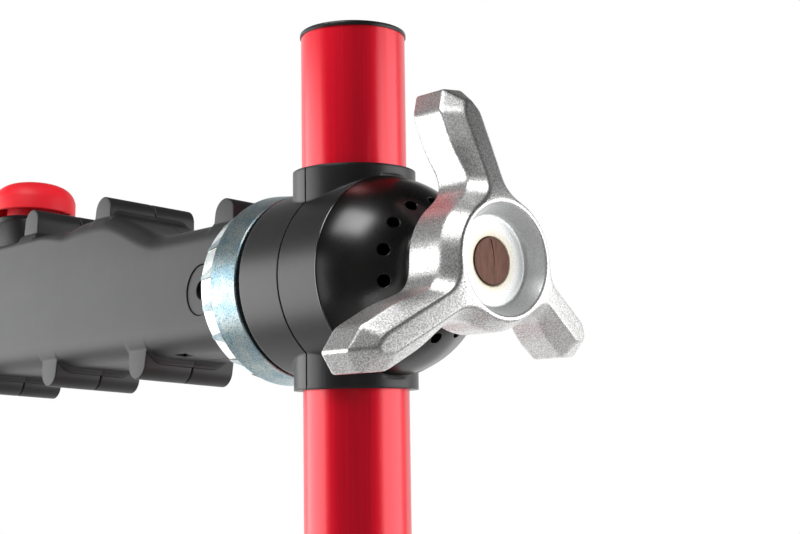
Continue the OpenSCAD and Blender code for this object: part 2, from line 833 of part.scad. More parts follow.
module arm_outside() {
    rise_parts = 3;
    bit = 0.5;
    bar_x(-x_flange - flange_t, -x_flange, flange_r);
    bar_x(-x_throat - cut, -x_flange, throat_r);
    along_x(-rise_at, -x_throat) arm_section(arm_top);
    for (k = [0:rise_parts - 1]) {
        a = rise_at + k * rise_len / rise_parts;
        b = a + rise_len / rise_parts;
        hull() {
            along_x(-a - bit, -a) arm_section(arm_height(a), $fn = 32);
            along_x(-b, -b + bit) arm_section(arm_height(b), $fn = 32);
        }
    }
    along_x(-arm_len, -x_high) arm_section(arm_high);
    translate([-button_at, 0, arm_high - 6]) linear_extrude(block_h + 6)
        round_rect([-block_l / 2, -block_w / 2], [block_l / 2, block_w / 2], block_round);
    arm_ribs();
}

module arm_pocket() {
    half = arm_side - arm_wall;
    low = arm_wall - arm_low;
    x_end = end_wall - arm_len;
    translate([x_end, -half, low]) cube([-x_end - x_pocket, 2 * half, arm_top - arm_wall - low]);
    translate([x_end, -half, 0]) cube([-x_end - x_high - arm_wall, 2 * half, arm_high - arm_wall]);
}

// Everything that passes through the shells
module arm_bores() {
    bar_x(-x_pocket - cut, 0, stud_r + run);
    translate([-x_barrel, 0, 0]) bar_y(-arm_w, arm_w, barrel_r);
    translate([-button_at, 0, 0]) cylinder(h = block_top + cut, r = stem_r + run);
    translate([-x_keeper, 0, z_keeper]) bar_y(-arm_w, arm_w, keeper_r);
    bar_x(-arm_len - cut, end_wall - arm_len + cut, spindle_r + room);
    for (side = [-1, 1]) {
        translate([0, side * rod_side, -rod_drop]) bar_x(-arm_len - cut, end_wall - arm_len + cut, rod_r + room);
        translate([0, side * jaw_screw_side, jaw_screw_z]) bar_x(-arm_len - cut, jaw_screw_in - arm_len, screw_r);
    }
    for (place = screw_places) translate([-place[0], 0, place[1]]) {
        bar_y(-screw_reach, arm_side, screw_r);
        bar_y(arm_side - screw_sink, arm_side + cut, screw_head_r + room);
    }
}

module arm_half(y0, y1) {
    difference() {
        intersection() {
            arm_outside();
            translate([-2 * arm_len, y0, -arm_len]) cube([2 * arm_len, y1 - y0, 2 * arm_len]);
        }
        difference() {
            arm_pocket();
            for (place = screw_places) translate([-place[0], 0, place[1]]) bar_y(-arm_w, arm_w, screw_r + 3);
        }
        arm_bores();
    }
}

module arm_shell_near() {
    color("#3a3a3c") at_arm() arm_half(-arm_w, split_y);
}

module arm_shell_far() {
    color("#3a3a3c") at_arm() arm_half(split_y, arm_w);
}

module arm_screws() {
    color("silver") at_arm() for (place = screw_places) translate([-place[0], 0, place[1]]) {
        bar_y(-screw_reach, arm_side - screw_sink, screw_r);
        bar_y(arm_side - screw_sink, arm_side - 1, screw_head_r);
    }
}

// Release button: a domed cap on a stem that is notched for its keeper pin
module release_button() {
    crown = button_h - button_side;
    sphere_r = (crown * crown + button_d * button_d / 4) / (2 * crown);
    stem_end = yoke_r + button_travel + 0.5;
    color("red") at_arm() translate([-button_at, 0, 0]) difference() {
        union() {
            translate([0, 0, button_z]) cylinder(h = button_side, r = button_d / 2);
            intersection() {
                translate([0, 0, button_z + button_h - sphere_r]) sphere(sphere_r);
                translate([0, 0, button_z + button_side]) cylinder(h = crown, r = button_d / 2);
            }
            translate([0, 0, stem_end]) cylinder(h = spring_top - stem_end + cut, r = stem_r);
            translate([0, 0, stem_end - yoke_wall]) cylinder(h = yoke_wall + cut, r = stem_r - 3);
        }
        translate([0, 0, button_z - cut]) tube(0, spring_sink + cut, spring_r + wire_d, stem_r);
        translate([button_at - x_keeper - keeper_r - room, -button_d, z_keeper - keeper_r - room])
            cube([button_d, 2 * button_d, keeper_d + 2 * room + button_travel]);
    }
}

module button_pin() {
    color("silver") at_arm() translate([-x_keeper, 0, z_keeper]) bar_y(0.5 - block_w / 2, block_w / 2 - 0.5, keeper_r);
}

// Points of a coil: rings of wire, each square to the coil, joined by triangles
module button_spring() {
    sides = 6;
    rings = 12 * spring_turns;
    z0 = block_top + wire_d / 2 + run;
    z1 = spring_top - wire_d / 2 - run;
    points = [for (i = [0:rings], s = [0:sides - 1])
        let (turn = 360 * i / 12, reach = spring_r + wire_d / 2 * cos(360 * s / sides))
        [reach * cos(turn), reach * sin(turn), z0 + (z1 - z0) * i / rings + wire_d / 2 * sin(360 * s / sides)]];
    skin = [for (i = [0:rings - 1], s = [0:sides - 1])
        let (a = i * sides + s, b = i * sides + (s + 1) % sides)
        each [[a, a + sides, b + sides], [a, b + sides, b]]];
    last = rings * sides;
    ends = [for (s = [1:sides - 2]) each [[0, s, s + 1], [last, last + s + 1, last + s]]];
    color("silver") at_arm() translate([-button_at, 0, 0]) polyhedron(points, concat(skin, ends), convexity = 4);
}

// A yoke round the spindle: its lower half grips the thread until the button pushes it down
module half_nut() {
    lift = button_travel + 0.5;
    free_r = spindle_r + room;
    x0 = -button_at - half_nut_l / 2;
    x1 = -button_at + half_nut_l / 2;
    color("goldenrod") at_arm() difference() {
        union() {
            bar_x(x0, x1, yoke_r);
            translate([x0, -yoke_r, 0]) cube([half_nut_l, 2 * yoke_r, lift]);
            translate([0, 0, lift]) bar_x(x0, x1, yoke_r);
            translate([-button_at, 0, 0]) cylinder(h = yoke_r + lift - 0.5, r = stem_r - 1);
        }
        bar_x(x0 - cut, x1 + cut, spindle_r + run);
        translate([x0 - cut, -free_r, 0]) cube([half_nut_l + 2 * cut, 2 * free_r, lift]);
        translate([0, 0, lift]) bar_x(x0 - cut, x1 + cut, free_r);
        translate([-button_at, 0, lift]) cylinder(h = 2 * yoke_r, r = stem_r - 3);
        translate([-button_at, 0, yoke_r + button_travel + 0.5]) cylinder(h = yoke_r, r = stem_r);
    }
}

// Jaws
module jaw_outline() {
    round_rect([-arm_side, -arm_low], [arm_side, jaw_top], jaw_round);
}

module jaw_bores(rod_fit) {
    bar_x(-2 * arm_len, 0, spindle_r + room);
    for (side = [-1, 1]) translate([0, side * rod_side, -rod_drop]) bar_x(-2 * arm_len, 0, rod_r + rod_fit);
}

module rear_jaw() {
    color("#262628") at_arm() difference() {
        along_x(-x_pad, -arm_len) jaw_outline();
        jaw_bores(run);
        for (side = [-1, 1]) translate([0, side * jaw_screw_side, jaw_screw_z]) {
            bar_x(-x_pad - cut, -arm_len + cut, screw_r);
            bar_x(-x_pad - cut, screw_sink - x_pad, screw_head_r + room);
        }
    }
}

module rear_jaw_screws() {
    color("silver") at_arm() for (side = [-1, 1]) translate([0, side * jaw_screw_side, jaw_screw_z]) {
        bar_x(screw_sink - x_pad, jaw_screw_in - arm_len, screw_r);
        bar_x(0.5 - x_pad, screw_sink - x_pad, screw_head_r);
    }
}

module pad(x0, x1) {
    half = arm_side - 1;
    color("#1c1c1c") at_arm() difference() {
        translate([0, 0, post_z]) along_x(x0, x1) round_rect([-half, -pad_h / 2], [half, pad_h / 2], 4);
        translate([-x_post, 0, post_z]) bar_y(-arm_w, arm_w, post_r);
        bar_x(-2 * arm_len, 0, spindle_r + room);
    }
}

module rear_jaw_pad() {
    pad(-x_post + pad_gap / 2, -x_pad);
}

module front_jaw_pad() {
    pad(-x_front_jaw, -x_front_pad);
}

module front_jaw() {
    color("#262628") at_arm() difference() {
        along_x(-x_front_end, -x_front_jaw) jaw_outline();
        bar_x(-x_front_end - cut, -x_front_jaw + cut, spindle_r + run);
        bar_x(-x_front_jaw - clip_t - 2 * play, -x_front_jaw + cut, clip_r + 0.8);
        for (side = [-1, 1]) translate([0, side * rod_side, -rod_drop])
            bar_x(3 - x_front_end, -x_front_jaw + cut, rod_r);
    }
}

module guide_rods() {
    color("silver") at_arm() for (side = [-1, 1]) translate([0, side * rod_side, -rod_drop])
        bar_x(3 - x_front_end, rod_in - arm_len, rod_r);
}

module jaw_spindle() {
    color("silver") at_arm() bar_x(handle_hub / 2 - x_handle_end, rod_in + 35 - arm_len, spindle_r);
}

module spindle_clip() {
    color("dimgray") at_arm() difference() {
        bar_x(-x_front_jaw - clip_t - play, -x_front_jaw - play, clip_r);
        bar_x(-x_front_end, 0, spindle_r);
    }
}

module jaw_knob() {
    grip_r = PI * handle_d / handle_n / 3;
    color("#202020") at_arm() difference() {
        union() {
            bar_x(-x_handle - handle_hub, -x_handle, clip_r + 3);
            bar_x(-x_handle_end, -x_handle - handle_hub, handle_d / 2);
        }
        for (k = [0:handle_n - 1]) rotate([k * 360 / handle_n, 0, 0]) translate([0, 0, handle_d / 2 + grip_r * 0.45])
            bar_x(-x_handle_end - cut, -x_handle - handle_hub + cut, grip_r);
        bar_x(handle_hub / 2 - x_handle_end, 0, spindle_r);
    }
}

lower_mast_tube();
mast_end_plug();
strut_hub();
strut_pins();
mast_collar();
mast_collar_bush();
eye_bolt(lower_top - collar_h / 2);  // mast_collar_bolt
bolt_nut(lower_top - collar_h / 2);  // mast_collar_nut
cam_lever(lower_top - collar_h / 2, false);  // mast_collar_lever
upper_mast_tube();
mast_top_cap();
mast_foot_bush();
housing_inner();
housing_outer();
dome_cover();
lock_ring();
friction_disc();
knob_washer();
head_knob();
arm_shell_near();
arm_shell_far();
arm_screws();
barrel_nut();
head_stud();
button_pin();
button_spring();
release_button();
half_nut();
rear_jaw();
rear_jaw_pad();
rear_jaw_screws();
front_jaw();
front_jaw_pad();
guide_rods();
jaw_spindle();
jaw_knob();
spindle_clip();
leg_collar();
eye_bolt(leg_bolt_z);  // leg_collar_bolt
bolt_nut(leg_bolt_z);  // leg_collar_nut
leg_pins();
cam_lever(leg_bolt_z, true);  // leg_collar_lever
leg_tube(1);  // leg_1
leg_tube(2);  // leg_2
leg_tube(3);  // leg_3
leg_top_eye(1);  // leg_top_1
leg_top_eye(2);  // leg_top_2
leg_top_eye(3);  // leg_top_3
leg_saddle(1);  // leg_saddle_1
leg_saddle(2);  // leg_saddle_2
leg_saddle(3);  // leg_saddle_3
foot(1);  // foot_1
foot(2);  // foot_2
foot(3);  // foot_3
strut(1);  // strut_1
strut(2);  // strut_2
strut(3);  // strut_3
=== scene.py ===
import json
from math import asin, cos, pi, radians, sin

import bmesh
import bpy
import numpy as np
from mathutils import Matrix, Vector


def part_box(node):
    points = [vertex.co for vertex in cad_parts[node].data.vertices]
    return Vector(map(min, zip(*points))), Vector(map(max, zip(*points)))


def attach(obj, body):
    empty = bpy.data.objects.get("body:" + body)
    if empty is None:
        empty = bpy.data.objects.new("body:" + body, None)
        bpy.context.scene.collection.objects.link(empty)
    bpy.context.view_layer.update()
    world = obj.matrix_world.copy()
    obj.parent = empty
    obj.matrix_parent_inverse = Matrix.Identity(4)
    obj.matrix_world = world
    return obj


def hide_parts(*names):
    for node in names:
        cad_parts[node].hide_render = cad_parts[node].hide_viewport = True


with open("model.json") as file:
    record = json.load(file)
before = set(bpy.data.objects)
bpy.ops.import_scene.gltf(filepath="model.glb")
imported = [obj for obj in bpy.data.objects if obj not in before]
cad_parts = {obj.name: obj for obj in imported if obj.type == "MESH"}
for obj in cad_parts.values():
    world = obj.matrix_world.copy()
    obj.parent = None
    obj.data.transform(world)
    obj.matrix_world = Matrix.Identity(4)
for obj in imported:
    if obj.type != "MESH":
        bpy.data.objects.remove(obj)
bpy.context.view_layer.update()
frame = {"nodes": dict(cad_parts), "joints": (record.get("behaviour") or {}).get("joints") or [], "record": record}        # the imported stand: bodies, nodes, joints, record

mm = 0.001
weld = 0.001 * mm        # points closer than this are one
crease = 40        # degrees; edges sharper than this are kept sharp
white = (1, 1, 1, 1)
joints = {joint["name"]: joint for joint in frame["joints"]}
headCentre = Vector(joints["head_turn"]["pos_m"])
headPlace = Matrix.Translation(headCentre)
headLathe = headPlace @ Matrix.Rotation(radians(90), 4, "Y")        # lays a lathe's Z along the head's axis
armTurn = asin(joints["button_press"]["axis"][1])        # the arm hangs a little turned about the head's axis
armPlace = headPlace @ Matrix.Rotation(armTurn, 4, "X")
print("frame loaded:", len(frame["nodes"]), "nodes, head axis at", round(headCentre.z, 3), "m")


def hexColour(text):
    # sRGB hex to linear colour
    parts = [int(text[i:i + 2], 16) / 255 for i in (1, 3, 5)]
    linear = [p / 12.92 if p <= 0.04045 else ((p + 0.055) / 1.055) ** 2.4 for p in parts]
    return (*linear, 1.0)


def addNode(tree, kind, settings=None, **links):
    # one node: settings go to its properties or sockets, links come from other nodes' outputs
    node = tree.nodes.new(kind)
    for name, value in (settings or {}).items():
        if hasattr(node, name) and name not in node.inputs:
            setattr(node, name, value)
        else:
            node.inputs[name].default_value = value
    for name, source in links.items():
        socket = node.inputs[int(name[2:])] if name.startswith("in") else node.inputs[name]
        tree.links.new(source, socket)
    return node


def startMaterial(name, **sockets):
    material = bpy.data.materials.new(name)
    material.use_nodes = True
    tree = material.node_tree
    shader = tree.nodes["Principled BSDF"]
    for socket, value in sockets.items():
        shader.inputs[socket].default_value = value
    place = addNode(tree, "ShaderNodeTexCoord").outputs["Object"]
    return material, tree, shader, place


def rampBetween(tree, source, dark, light, low=0.3, high=0.7):
    ramp = addNode(tree, "ShaderNodeValToRGB", in0=source)
    ramp.color_ramp.elements[0].position = low
    ramp.color_ramp.elements[0].color = dark
    ramp.color_ramp.elements[1].position = high
    ramp.color_ramp.elements[1].color = light
    return ramp.outputs["Color"]


def paint(tree, shader, source, dark, light, low=0.3, high=0.7):
    # the base colour follows a pattern from one hex colour to another
    colour = rampBetween(tree, source, hexColour(dark), hexColour(light), low, high)
    tree.links.new(colour, shader.inputs["Base Color"])


def mapTo(tree, source, start, end, span=(0, 1)):
    # a value that runs over a span, mapped to run from start to end
    ranges = {"From Min": span[0], "From Max": span[1], "To Min": start, "To Max": end}
    return addNode(tree, "ShaderNodeMapRange", ranges, Value=source).outputs["Result"]


def multiply(tree, one, other):
    settings = {"data_type": "RGBA", "blend_type": "MULTIPLY", "Factor": 1.0}
    return addNode(tree, "ShaderNodeMix", settings, in6=one, in7=other).outputs[2]


def roundedBump(tree, shader, height, strength, depth, edge):
    # a small edge radius from the bevel shader, with the grain's bump on top
    soft = addNode(tree, "ShaderNodeBevel", {"samples": 4, "Radius": edge}).outputs["Normal"]
    settings = {"Strength": strength, "Distance": depth}
    bump = addNode(tree, "ShaderNodeBump", settings, Height=height, Normal=soft)
    tree.links.new(bump.outputs["Normal"], shader.inputs["Normal"])


def grain(tree, place, size, detail=3.0, stretch=(1, 1, 1)):
    # noise whose blotches are about this many millimetres across
    mapping = addNode(tree, "ShaderNodeMapping", {"Scale": stretch}, Vector=place)
    settings = {"Scale": 1 / (size * mm), "Detail": detail, "Roughness": 0.55}
    return addNode(tree, "ShaderNodeTexNoise", settings, Vector=mapping.outputs["Vector"]).outputs["Fac"]


def axisRadius(tree, place):
    # distance from the head's axis, in metres
    out = addNode(tree, "ShaderNodeVectorMath", {"operation": "SUBTRACT"}, in0=place)
    out.inputs[1].default_value = headCentre
    flat = addNode(tree, "ShaderNodeVectorMath", {"operation": "MULTIPLY"}, in0=out.outputs["Vector"])
    flat.inputs[1].default_value = (0, 1, 1)
    length = addNode(tree, "ShaderNodeVectorMath", {"operation": "LENGTH"}, in0=flat.outputs["Vector"])
    return length.outputs["Value"]


anodised = dict(
    deep="#e00426", bright="#ee062a", drawLine=0.5, drawLength=60, blast=0.4, roughness=(0.48, 0.54),
    sockets={
        "Metallic": 0.6, "Specular IOR Level": 0.0,
        "Coat Weight": 0.8, "Coat Roughness": 0.24, "Coat IOR": 1.6})


def anodisedAluminium():
    # blasted tube, red dye under a clear oxide: deep matte red, pink where it mirrors a lamp, a fine sparkle
    look = anodised
    material, tree, shader, place = startMaterial("anodisedAluminium", **look["sockets"])
    stretch = (1, 1, look["drawLine"] / look["drawLength"])
    lines = grain(tree, place, look["drawLine"], detail=2, stretch=stretch)
    paint(tree, shader, lines, look["deep"], look["bright"], low=0.35)
    tree.links.new(mapTo(tree, lines, *look["roughness"]), shader.inputs["Roughness"])
    blast = grain(tree, place, look["blast"], detail=1)
    roundedBump(tree, shader, blast, strength=0.16, depth=0.05 * mm, edge=0.3 * mm)
    return material


housingLook = dict(
    dark="#121213", light="#1a1a1b", roughness=0.38, edge=1.3 * mm,
    grainSize=0.6, scratchSize=0.9, scratchLength=14)
armLook = dict(
    dark="#1c1c1e", light="#242426", roughness=0.5, edge=0.5 * mm,
    grainSize=0.6, scratchSize=0.8, scratchLength=18)
jawLook = dict(
    dark="#161617", light="#1e1e20", roughness=0.42, edge=0.8 * mm,
    grainSize=0.7, scratchSize=0.9, scratchLength=14)
capLook = dict(
    dark="#111112", light="#181819", roughness=0.36, edge=0.5 * mm,
    grainSize=0.6, scratchSize=0.8, scratchLength=10)
nylonSkin = dict(patch=25, scratchAt=(0.66, 0.72), scratchDeep=-0.6, strength=0.22, depth=0.12 * mm)


def mouldedNylon(name, look, **sockets):
    # glass filled nylon out of an etched mould: matte grey black, a fine grain and a few handling scratches
    n = nylonSkin
    material, tree, shader, place = startMaterial(name, Roughness=look["roughness"], IOR=1.53, **sockets)
    skin = grain(tree, place, look["grainSize"])
    tone = grain(tree, place, n["patch"] * look["grainSize"], detail=2)
    paint(tree, shader, tone, look["dark"], look["light"])
    stretch = (1, 1, look["scratchSize"] / look["scratchLength"])
    scratch = grain(tree, place, look["scratchSize"], detail=1, stretch=stretch)
    sharp = rampBetween(tree, scratch, (0, 0, 0, 1), white, *n["scratchAt"])
    both = addNode(tree, "ShaderNodeMath", {"operation": "MULTIPLY_ADD"}, in0=sharp, in2=skin)
    both.inputs[1].default_value = n["scratchDeep"]
    roundedBump(tree, shader, both.outputs["Value"], n["strength"], n["depth"], look["edge"])
    return material


domeLook = dict(
    dark="#090909", light="#100f0e", patch=9, skin=0.5, roughness=(0.25, 0.31),
    shine=(0.1, 0.78), rim=16)        # from the rim's edge to the crown, over this many mm


def satinDome():
    # moulded ABS cover, polished over its crown: near black with broad soft highlights, duller at its rim
    look = domeLook
    material, tree, shader, place = startMaterial("satinAbs", IOR=1.54)
    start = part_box("dome_cover")[0].x
    along = addNode(tree, "ShaderNodeSeparateXYZ", Vector=place).outputs["X"]
    polish = mapTo(tree, along, *look["shine"], span=(start, start + look["rim"] * mm))
    tree.links.new(polish, shader.inputs["Specular IOR Level"])
    tone = grain(tree, place, look["patch"])
    paint(tree, shader, tone, look["dark"], look["light"], high=0.75)
    tree.links.new(mapTo(tree, tone, *look["roughness"]), shader.inputs["Roughness"])
    skin = grain(tree, place, look["skin"])
    roundedBump(tree, shader, skin, strength=0.06, depth=0.05 * mm, edge=0.5 * mm)
    return material


lipLook = dict(dark="#0b0b0b", light="#131312", patch=6)


def polishedAbs():
    # the dome's burnished lip: black, with a thin bright line where it turns to a lamp
    sockets = {"IOR": 1.54, "Roughness": 0.2, "Specular IOR Level": 1.0}
    material, tree, shader, place = startMaterial("polishedAbs", **sockets)
    paint(tree, shader, grain(tree, place, lipLook["patch"], detail=2), lipLook["dark"], lipLook["light"])
    return material


ringLook = dict(
    cool="#8ba9b5", straw="#bcc5c3", dull="#a3adb0", cloud=7, sand=0.55, roughness=0.37, blast=0.55)
# painted light: a near white copy of the zinc for the notches' floors, standing for the bright backdrop they
# mirror
notchLitLook = dict(
    cool="#e6f0f2", straw="#f4f4ee", dull="#dfe8ea", cloud=9, sand=1.5, roughness=0.3, blast=0.05)
# painted shade: a dark, yellowish copy of the zinc for the steps round the notches and the lands' ends
notchShadeLook = dict(
    cool="#56636a", straw="#6e674f", dull="#8d8d88", cloud=2, sand=0.8, roughness=0.5, blast=0.2)


def zincPlate(name, look):
    # turned steel, zinc with a blue passivate: cool and straw coloured clouds, speckled where it was blasted
    material, tree, shader, place = startMaterial(name, Metallic=1.0, Roughness=look["roughness"])
    cloud = grain(tree, place, look["cloud"], detail=4)
    tint = rampBetween(tree, cloud, hexColour(look["cool"]), hexColour(look["straw"]), low=0.35, high=0.65)
    sand = grain(tree, place, look["sand"], detail=2)
    pits = rampBetween(tree, sand, hexColour(look["dull"]), white, low=0.34, high=0.5)
    tree.links.new(multiply(tree, tint, pits), shader.inputs["Base Color"])
    roundedBump(tree, shader, sand, look["blast"], depth=0.12 * mm, edge=0.4 * mm)
    return material


castLook = dict(
    dark="#a8a4a0", light="#ebedee", straw="#e2d6bd", sand=0.5,        # sand a little coarse so that it shows
    roughness=(0.43, 0.27), metal=(0.4, 0.9), even=(0.65, 0.0),        # metal and even change at the recess; even is the painted light there
    recess=(18.2 * mm, 18.8 * mm), halo=(8 * mm, 12 * mm), bumpStrength=0.6, bumpDepth=0.09 * mm)


def castAluminium():
    # sand cast, tumbled aluminium: pale grey metal whose speckled skin glints grain by grain, stained straw
    # round the stud; the recess is painted light: paler, more even and less metallic, for the light it
    # catches
    look = castLook
    material, tree, shader, place = startMaterial("castAluminium")
    sand = grain(tree, place, look["sand"], detail=2)
    radius = axisRadius(tree, place)
    speckle = rampBetween(tree, sand, hexColour(look["dark"]), hexColour(look["light"]), low=0.36, high=0.62)
    # painted light: inside the recess the colour turns even and pale, and less metallic, standing for the
    # light it catches
    share = mapTo(tree, radius, *look["even"], span=look["recess"])
    even = addNode(tree, "ShaderNodeMix", {"data_type": "RGBA"}, in0=share, in6=speckle)
    even.inputs[7].default_value = hexColour(look["light"])
    stain = mapTo(tree, radius, 0, 1, span=look["halo"])
    tint = rampBetween(tree, stain, hexColour(look["straw"]), white, low=0, high=1)
    tree.links.new(multiply(tree, even.outputs[2], tint), shader.inputs["Base Color"])
    tree.links.new(mapTo(tree, radius, *look["metal"], span=look["recess"]), shader.inputs["Metallic"])
    tree.links.new(mapTo(tree, sand, *look["roughness"]), shader.inputs["Roughness"])
    depth = {"Strength": look["bumpStrength"], "Distance": look["bumpDepth"]}
    bump = addNode(tree, "ShaderNodeBump", depth, Height=sand)
    tree.links.new(bump.outputs["Normal"], shader.inputs["Normal"])
    return material


sawnLook = dict(dark="#53352a", light="#694539", line=1.4, lineLength=5.6)


def sawnSteel():
    # sawn and tarnished end of a steel stud: brown, dull, with saw lines across it
    look = sawnLook
    material, tree, shader, place = startMaterial("sawnSteel", Metallic=0.55, Roughness=0.5)
    saw = grain(tree, place, look["line"], detail=2, stretch=(1, 1, look["line"] / look["lineLength"]))
    paint(tree, shader, saw, look["dark"], look["light"])
    roundedBump(tree, shader, saw, strength=0.2, depth=0.08 * mm, edge=0.4 * mm)
    return material


jointLook = dict(dark="#060606", light="#0c0b0a", dust=2)


def openJoint():
    # the dark of a narrow joint or crack, with nothing to shine
    sockets = {"Roughness": 1.0, "Specular IOR Level": 0.0}
    material, tree, shader, place = startMaterial("openJoint", **sockets)
    paint(tree, shader, grain(tree, place, jointLook["dust"]), jointLook["dark"], jointLook["light"])
    return material


turnedLook = dict(line=0.6, lineLength=6, spread=0.1)        # spread is how far the roughness varies


def plainMetal(name, dark, light, roughness):
    # bright turned or rolled metal: even tone with fine lines
    look = turnedLook
    material, tree, shader, place = startMaterial(name, Metallic=1.0)
    lines = grain(tree, place, look["line"], detail=2, stretch=(look["line"] / look["lineLength"], 1, 1))
    paint(tree, shader, lines, dark, light)
    tree.links.new(mapTo(tree, lines, roughness, roughness + look["spread"]), shader.inputs["Roughness"])
    roundedBump(tree, shader, lines, strength=0.06, depth=0.05 * mm, edge=0.3 * mm)
    return material


redLook = dict(dark="#e61c2a", light="#ee2431", patch=12, skin=0.8)


def redAbs():
    # dyed ABS with a satin skin: clear red, smooth, a faint broad sheen over the crown
    sockets = {"IOR": 1.5, "Roughness": 0.45, "Specular IOR Level": 0.25}
    material, tree, shader, place = startMaterial("redAbs", **sockets)
    paint(tree, shader, grain(tree, place, redLook["patch"], detail=2), redLook["dark"], redLook["light"])
    skin = grain(tree, place, redLook["skin"])
    roundedBump(tree, shader, skin, strength=0.05, depth=0.05 * mm, edge=0.5 * mm)
    return material


rubberLook = dict(dark="#161616", light="#272726", skin=1.2)


def mouldedRubber():
    # black vulcanised rubber: dead matte, slightly dusty, with a leathery grain
    sockets = {"Roughness": 0.78, "IOR": 1.5, "Sheen Weight": 0.12}
    material, tree, shader, place = startMaterial("mouldedRubber", **sockets)
    skin = grain(tree, place, rubberLook["skin"], detail=4)
    paint(tree, shader, skin, rubberLook["dark"], rubberLook["light"], low=0.35, high=0.75)
    roundedBump(tree, shader, skin, strength=0.35, depth=0.15 * mm, edge=0.8 * mm)
    return material


peelSize = 1.1        # orange peel of baked powder


def powderCoat(name, dark, light):
    # baked powder on a casting or pressing: even colour with a fine orange peel
    material, tree, shader, place = startMaterial(name, Roughness=0.42, IOR=1.5)
    peel = grain(tree, place, peelSize, detail=2)
    paint(tree, shader, peel, dark, light)
    roundedBump(tree, shader, peel, strength=0.15, depth=0.1 * mm, edge=0.6 * mm)
    return material


fibreLook = dict(dark="#4a3524", light="#77583c", fleck=1.5)


def pressedFibre():
    # friction disc of pressed fibre: brown, matte, flecked
    material, tree, shader, place = startMaterial("pressedFibre", Roughness=0.85)
    fleck = grain(tree, place, fibreLook["fleck"], detail=4)
    paint(tree, shader, fleck, fibreLook["dark"], fibreLook["light"], low=0.35, high=0.65)
    roundedBump(tree, shader, fleck, strength=0.3, depth=0.1 * mm, edge=0.2 * mm)
    return material


finishes = {
    "red_tube": anodisedAluminium(),
    "black_plastic": mouldedNylon("housingNylon", housingLook),
    "dome_black": satinDome(),
    "arm_grey": mouldedNylon("armNylon", armLook),
    "jaw_black": mouldedNylon("jawNylon", jawLook),
    "cast_grey": powderCoat("greyPowderCoat", "#3d3d40", "#48484b"),
    "steel": plainMetal("brightSteel", "#b9babc", "#d5d6d8", 0.28),
    "chrome_pin": plainMetal("chromePlate", "#dcdde0", "#f0f0f2", 0.08),
    "zinc": zincPlate("zincPlate", ringLook),
    "stud_steel": sawnSteel(),
    "friction": pressedFibre(),
    "cast_aluminium": castAluminium(),
    "red_plastic": redAbs(),
    "brass_nut": plainMetal("machinedBrass", "#b98b3e", "#d4ab5f", 0.25),
    "rubber": mouldedRubber(),
    "black_steel": powderCoat("blackPowderCoat", "#18181a", "#222224"),
}
extras = {        # second finishes of pieces whose slot is one of the above
    "cap": mouldedNylon("capNylon", capLook),
    "block": mouldedNylon("blockNylon", capLook, **{"Specular IOR Level": 0.14}),        # painted shade: the block takes the darker cap colour and a dull face, standing for the shade it sits in
    # lit and shaded copies of the zinc: painted light on the notches' floors, painted shade on the steps
    # round them
    "notchFloor": zincPlate("paintedLightZinc", notchLitLook),
    "notchStep": zincPlate("paintedShadeZinc", notchShadeLook),
    "joint": openJoint(),
    "lip": polishedAbs(),
}
for part in frame["record"]["subparts"]:
    node = frame["nodes"][part["node"]]
    node.data.materials.clear()
    node.data.materials.append(finishes[part["material_slot"]])
for name in ("mast_top_cap", "mast_end_plug", "mast_collar_lever", "leg_collar_lever", "jaw_knob"):
    frame["nodes"][name].data.materials[0] = extras["cap"]
print("materials:", len(finishes) + len(extras))


def addObject(name, data):
    thing = bpy.data.objects.new(name, data)
    bpy.context.scene.collection.objects.link(thing)
    return thing


def linkPiece(name, mesh, body, slot, *nodes, finish=None):
    # a piece in the frame's own space that rides on a body and, where named, stands for CAD nodes
    for index, each in enumerate(finish or (finishes[slot],)):
        if index < len(mesh.materials):
            mesh.materials[index] = each
        else:
            mesh.materials.append(each)
    piece = addObject(name, mesh)
    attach(piece, body)
    if nodes:
        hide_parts(*nodes)


def keepMesh(name, mesh, sharp=None):
    # a bmesh as mesh data, flat or, with an angle in degrees, smooth up to it
    data = bpy.data.meshes.new(name)
    mesh.to_mesh(data)
    mesh.free()
    if sharp:
        data.shade_smooth()
        data.set_sharp_from_angle(angle=radians(sharp))
    return data


def applyModifiers(piece):
    evaluated = piece.evaluated_get(bpy.context.evaluated_depsgraph_get())
    mesh = bpy.data.meshes.new_from_object(evaluated)
    piece.modifiers.clear()
    piece.data = mesh
    return mesh


knobShape = dict(
    front=77.7, back=56.4, face=20.2,        # front and back along the head's axis, radius of the front rim
    wings=3, wingTurn=4.6, wingFace=3.4, wingReach=58.8, wingDeep=20,
    root=18.5, lean=0.343, bend=2,        # past the root a wing's front drops by lean per mm, bent softly
    bevel=5.1, bevelDeep=6, hubBevel=2.9, bevelFrom=(25, 42),        # the bevel widens along the wings
    hubRun=6, hubFade=8,        # past the bevel, how far the hub's own depth reaches, and fades
    tip=1.9, tipTurn=30,        # corners cut off a wing's tip, at this angle from its flank
    fillet=7, tipEdge=0.8, ridge=0.5, edge=0.6,        # blends where faces meet
    backEdge=1.5, floorEdge=1.2, rimEdge=0.9, boreEdge=0.4,
    recess=18.7, floorRadius=15.5, floor=70, bore=7.95,        # the recess at the front, and the stud's bore
    span=(40, 80), margin=2, cell=0.58)        # the grid that the casting is worked out on


def softMin(a, b, blend):
    h = np.clip(0.5 + 0.5 * (b - a) / blend, 0, 1)
    return b + (a - b) * h - blend * h * (1 - h)


def softMax(a, b, blend):
    return -softMin(-a, -b, blend)


def smoothStep(t):
    t = np.clip(t, 0, 1)
    return t * t * (3 - 2 * t)


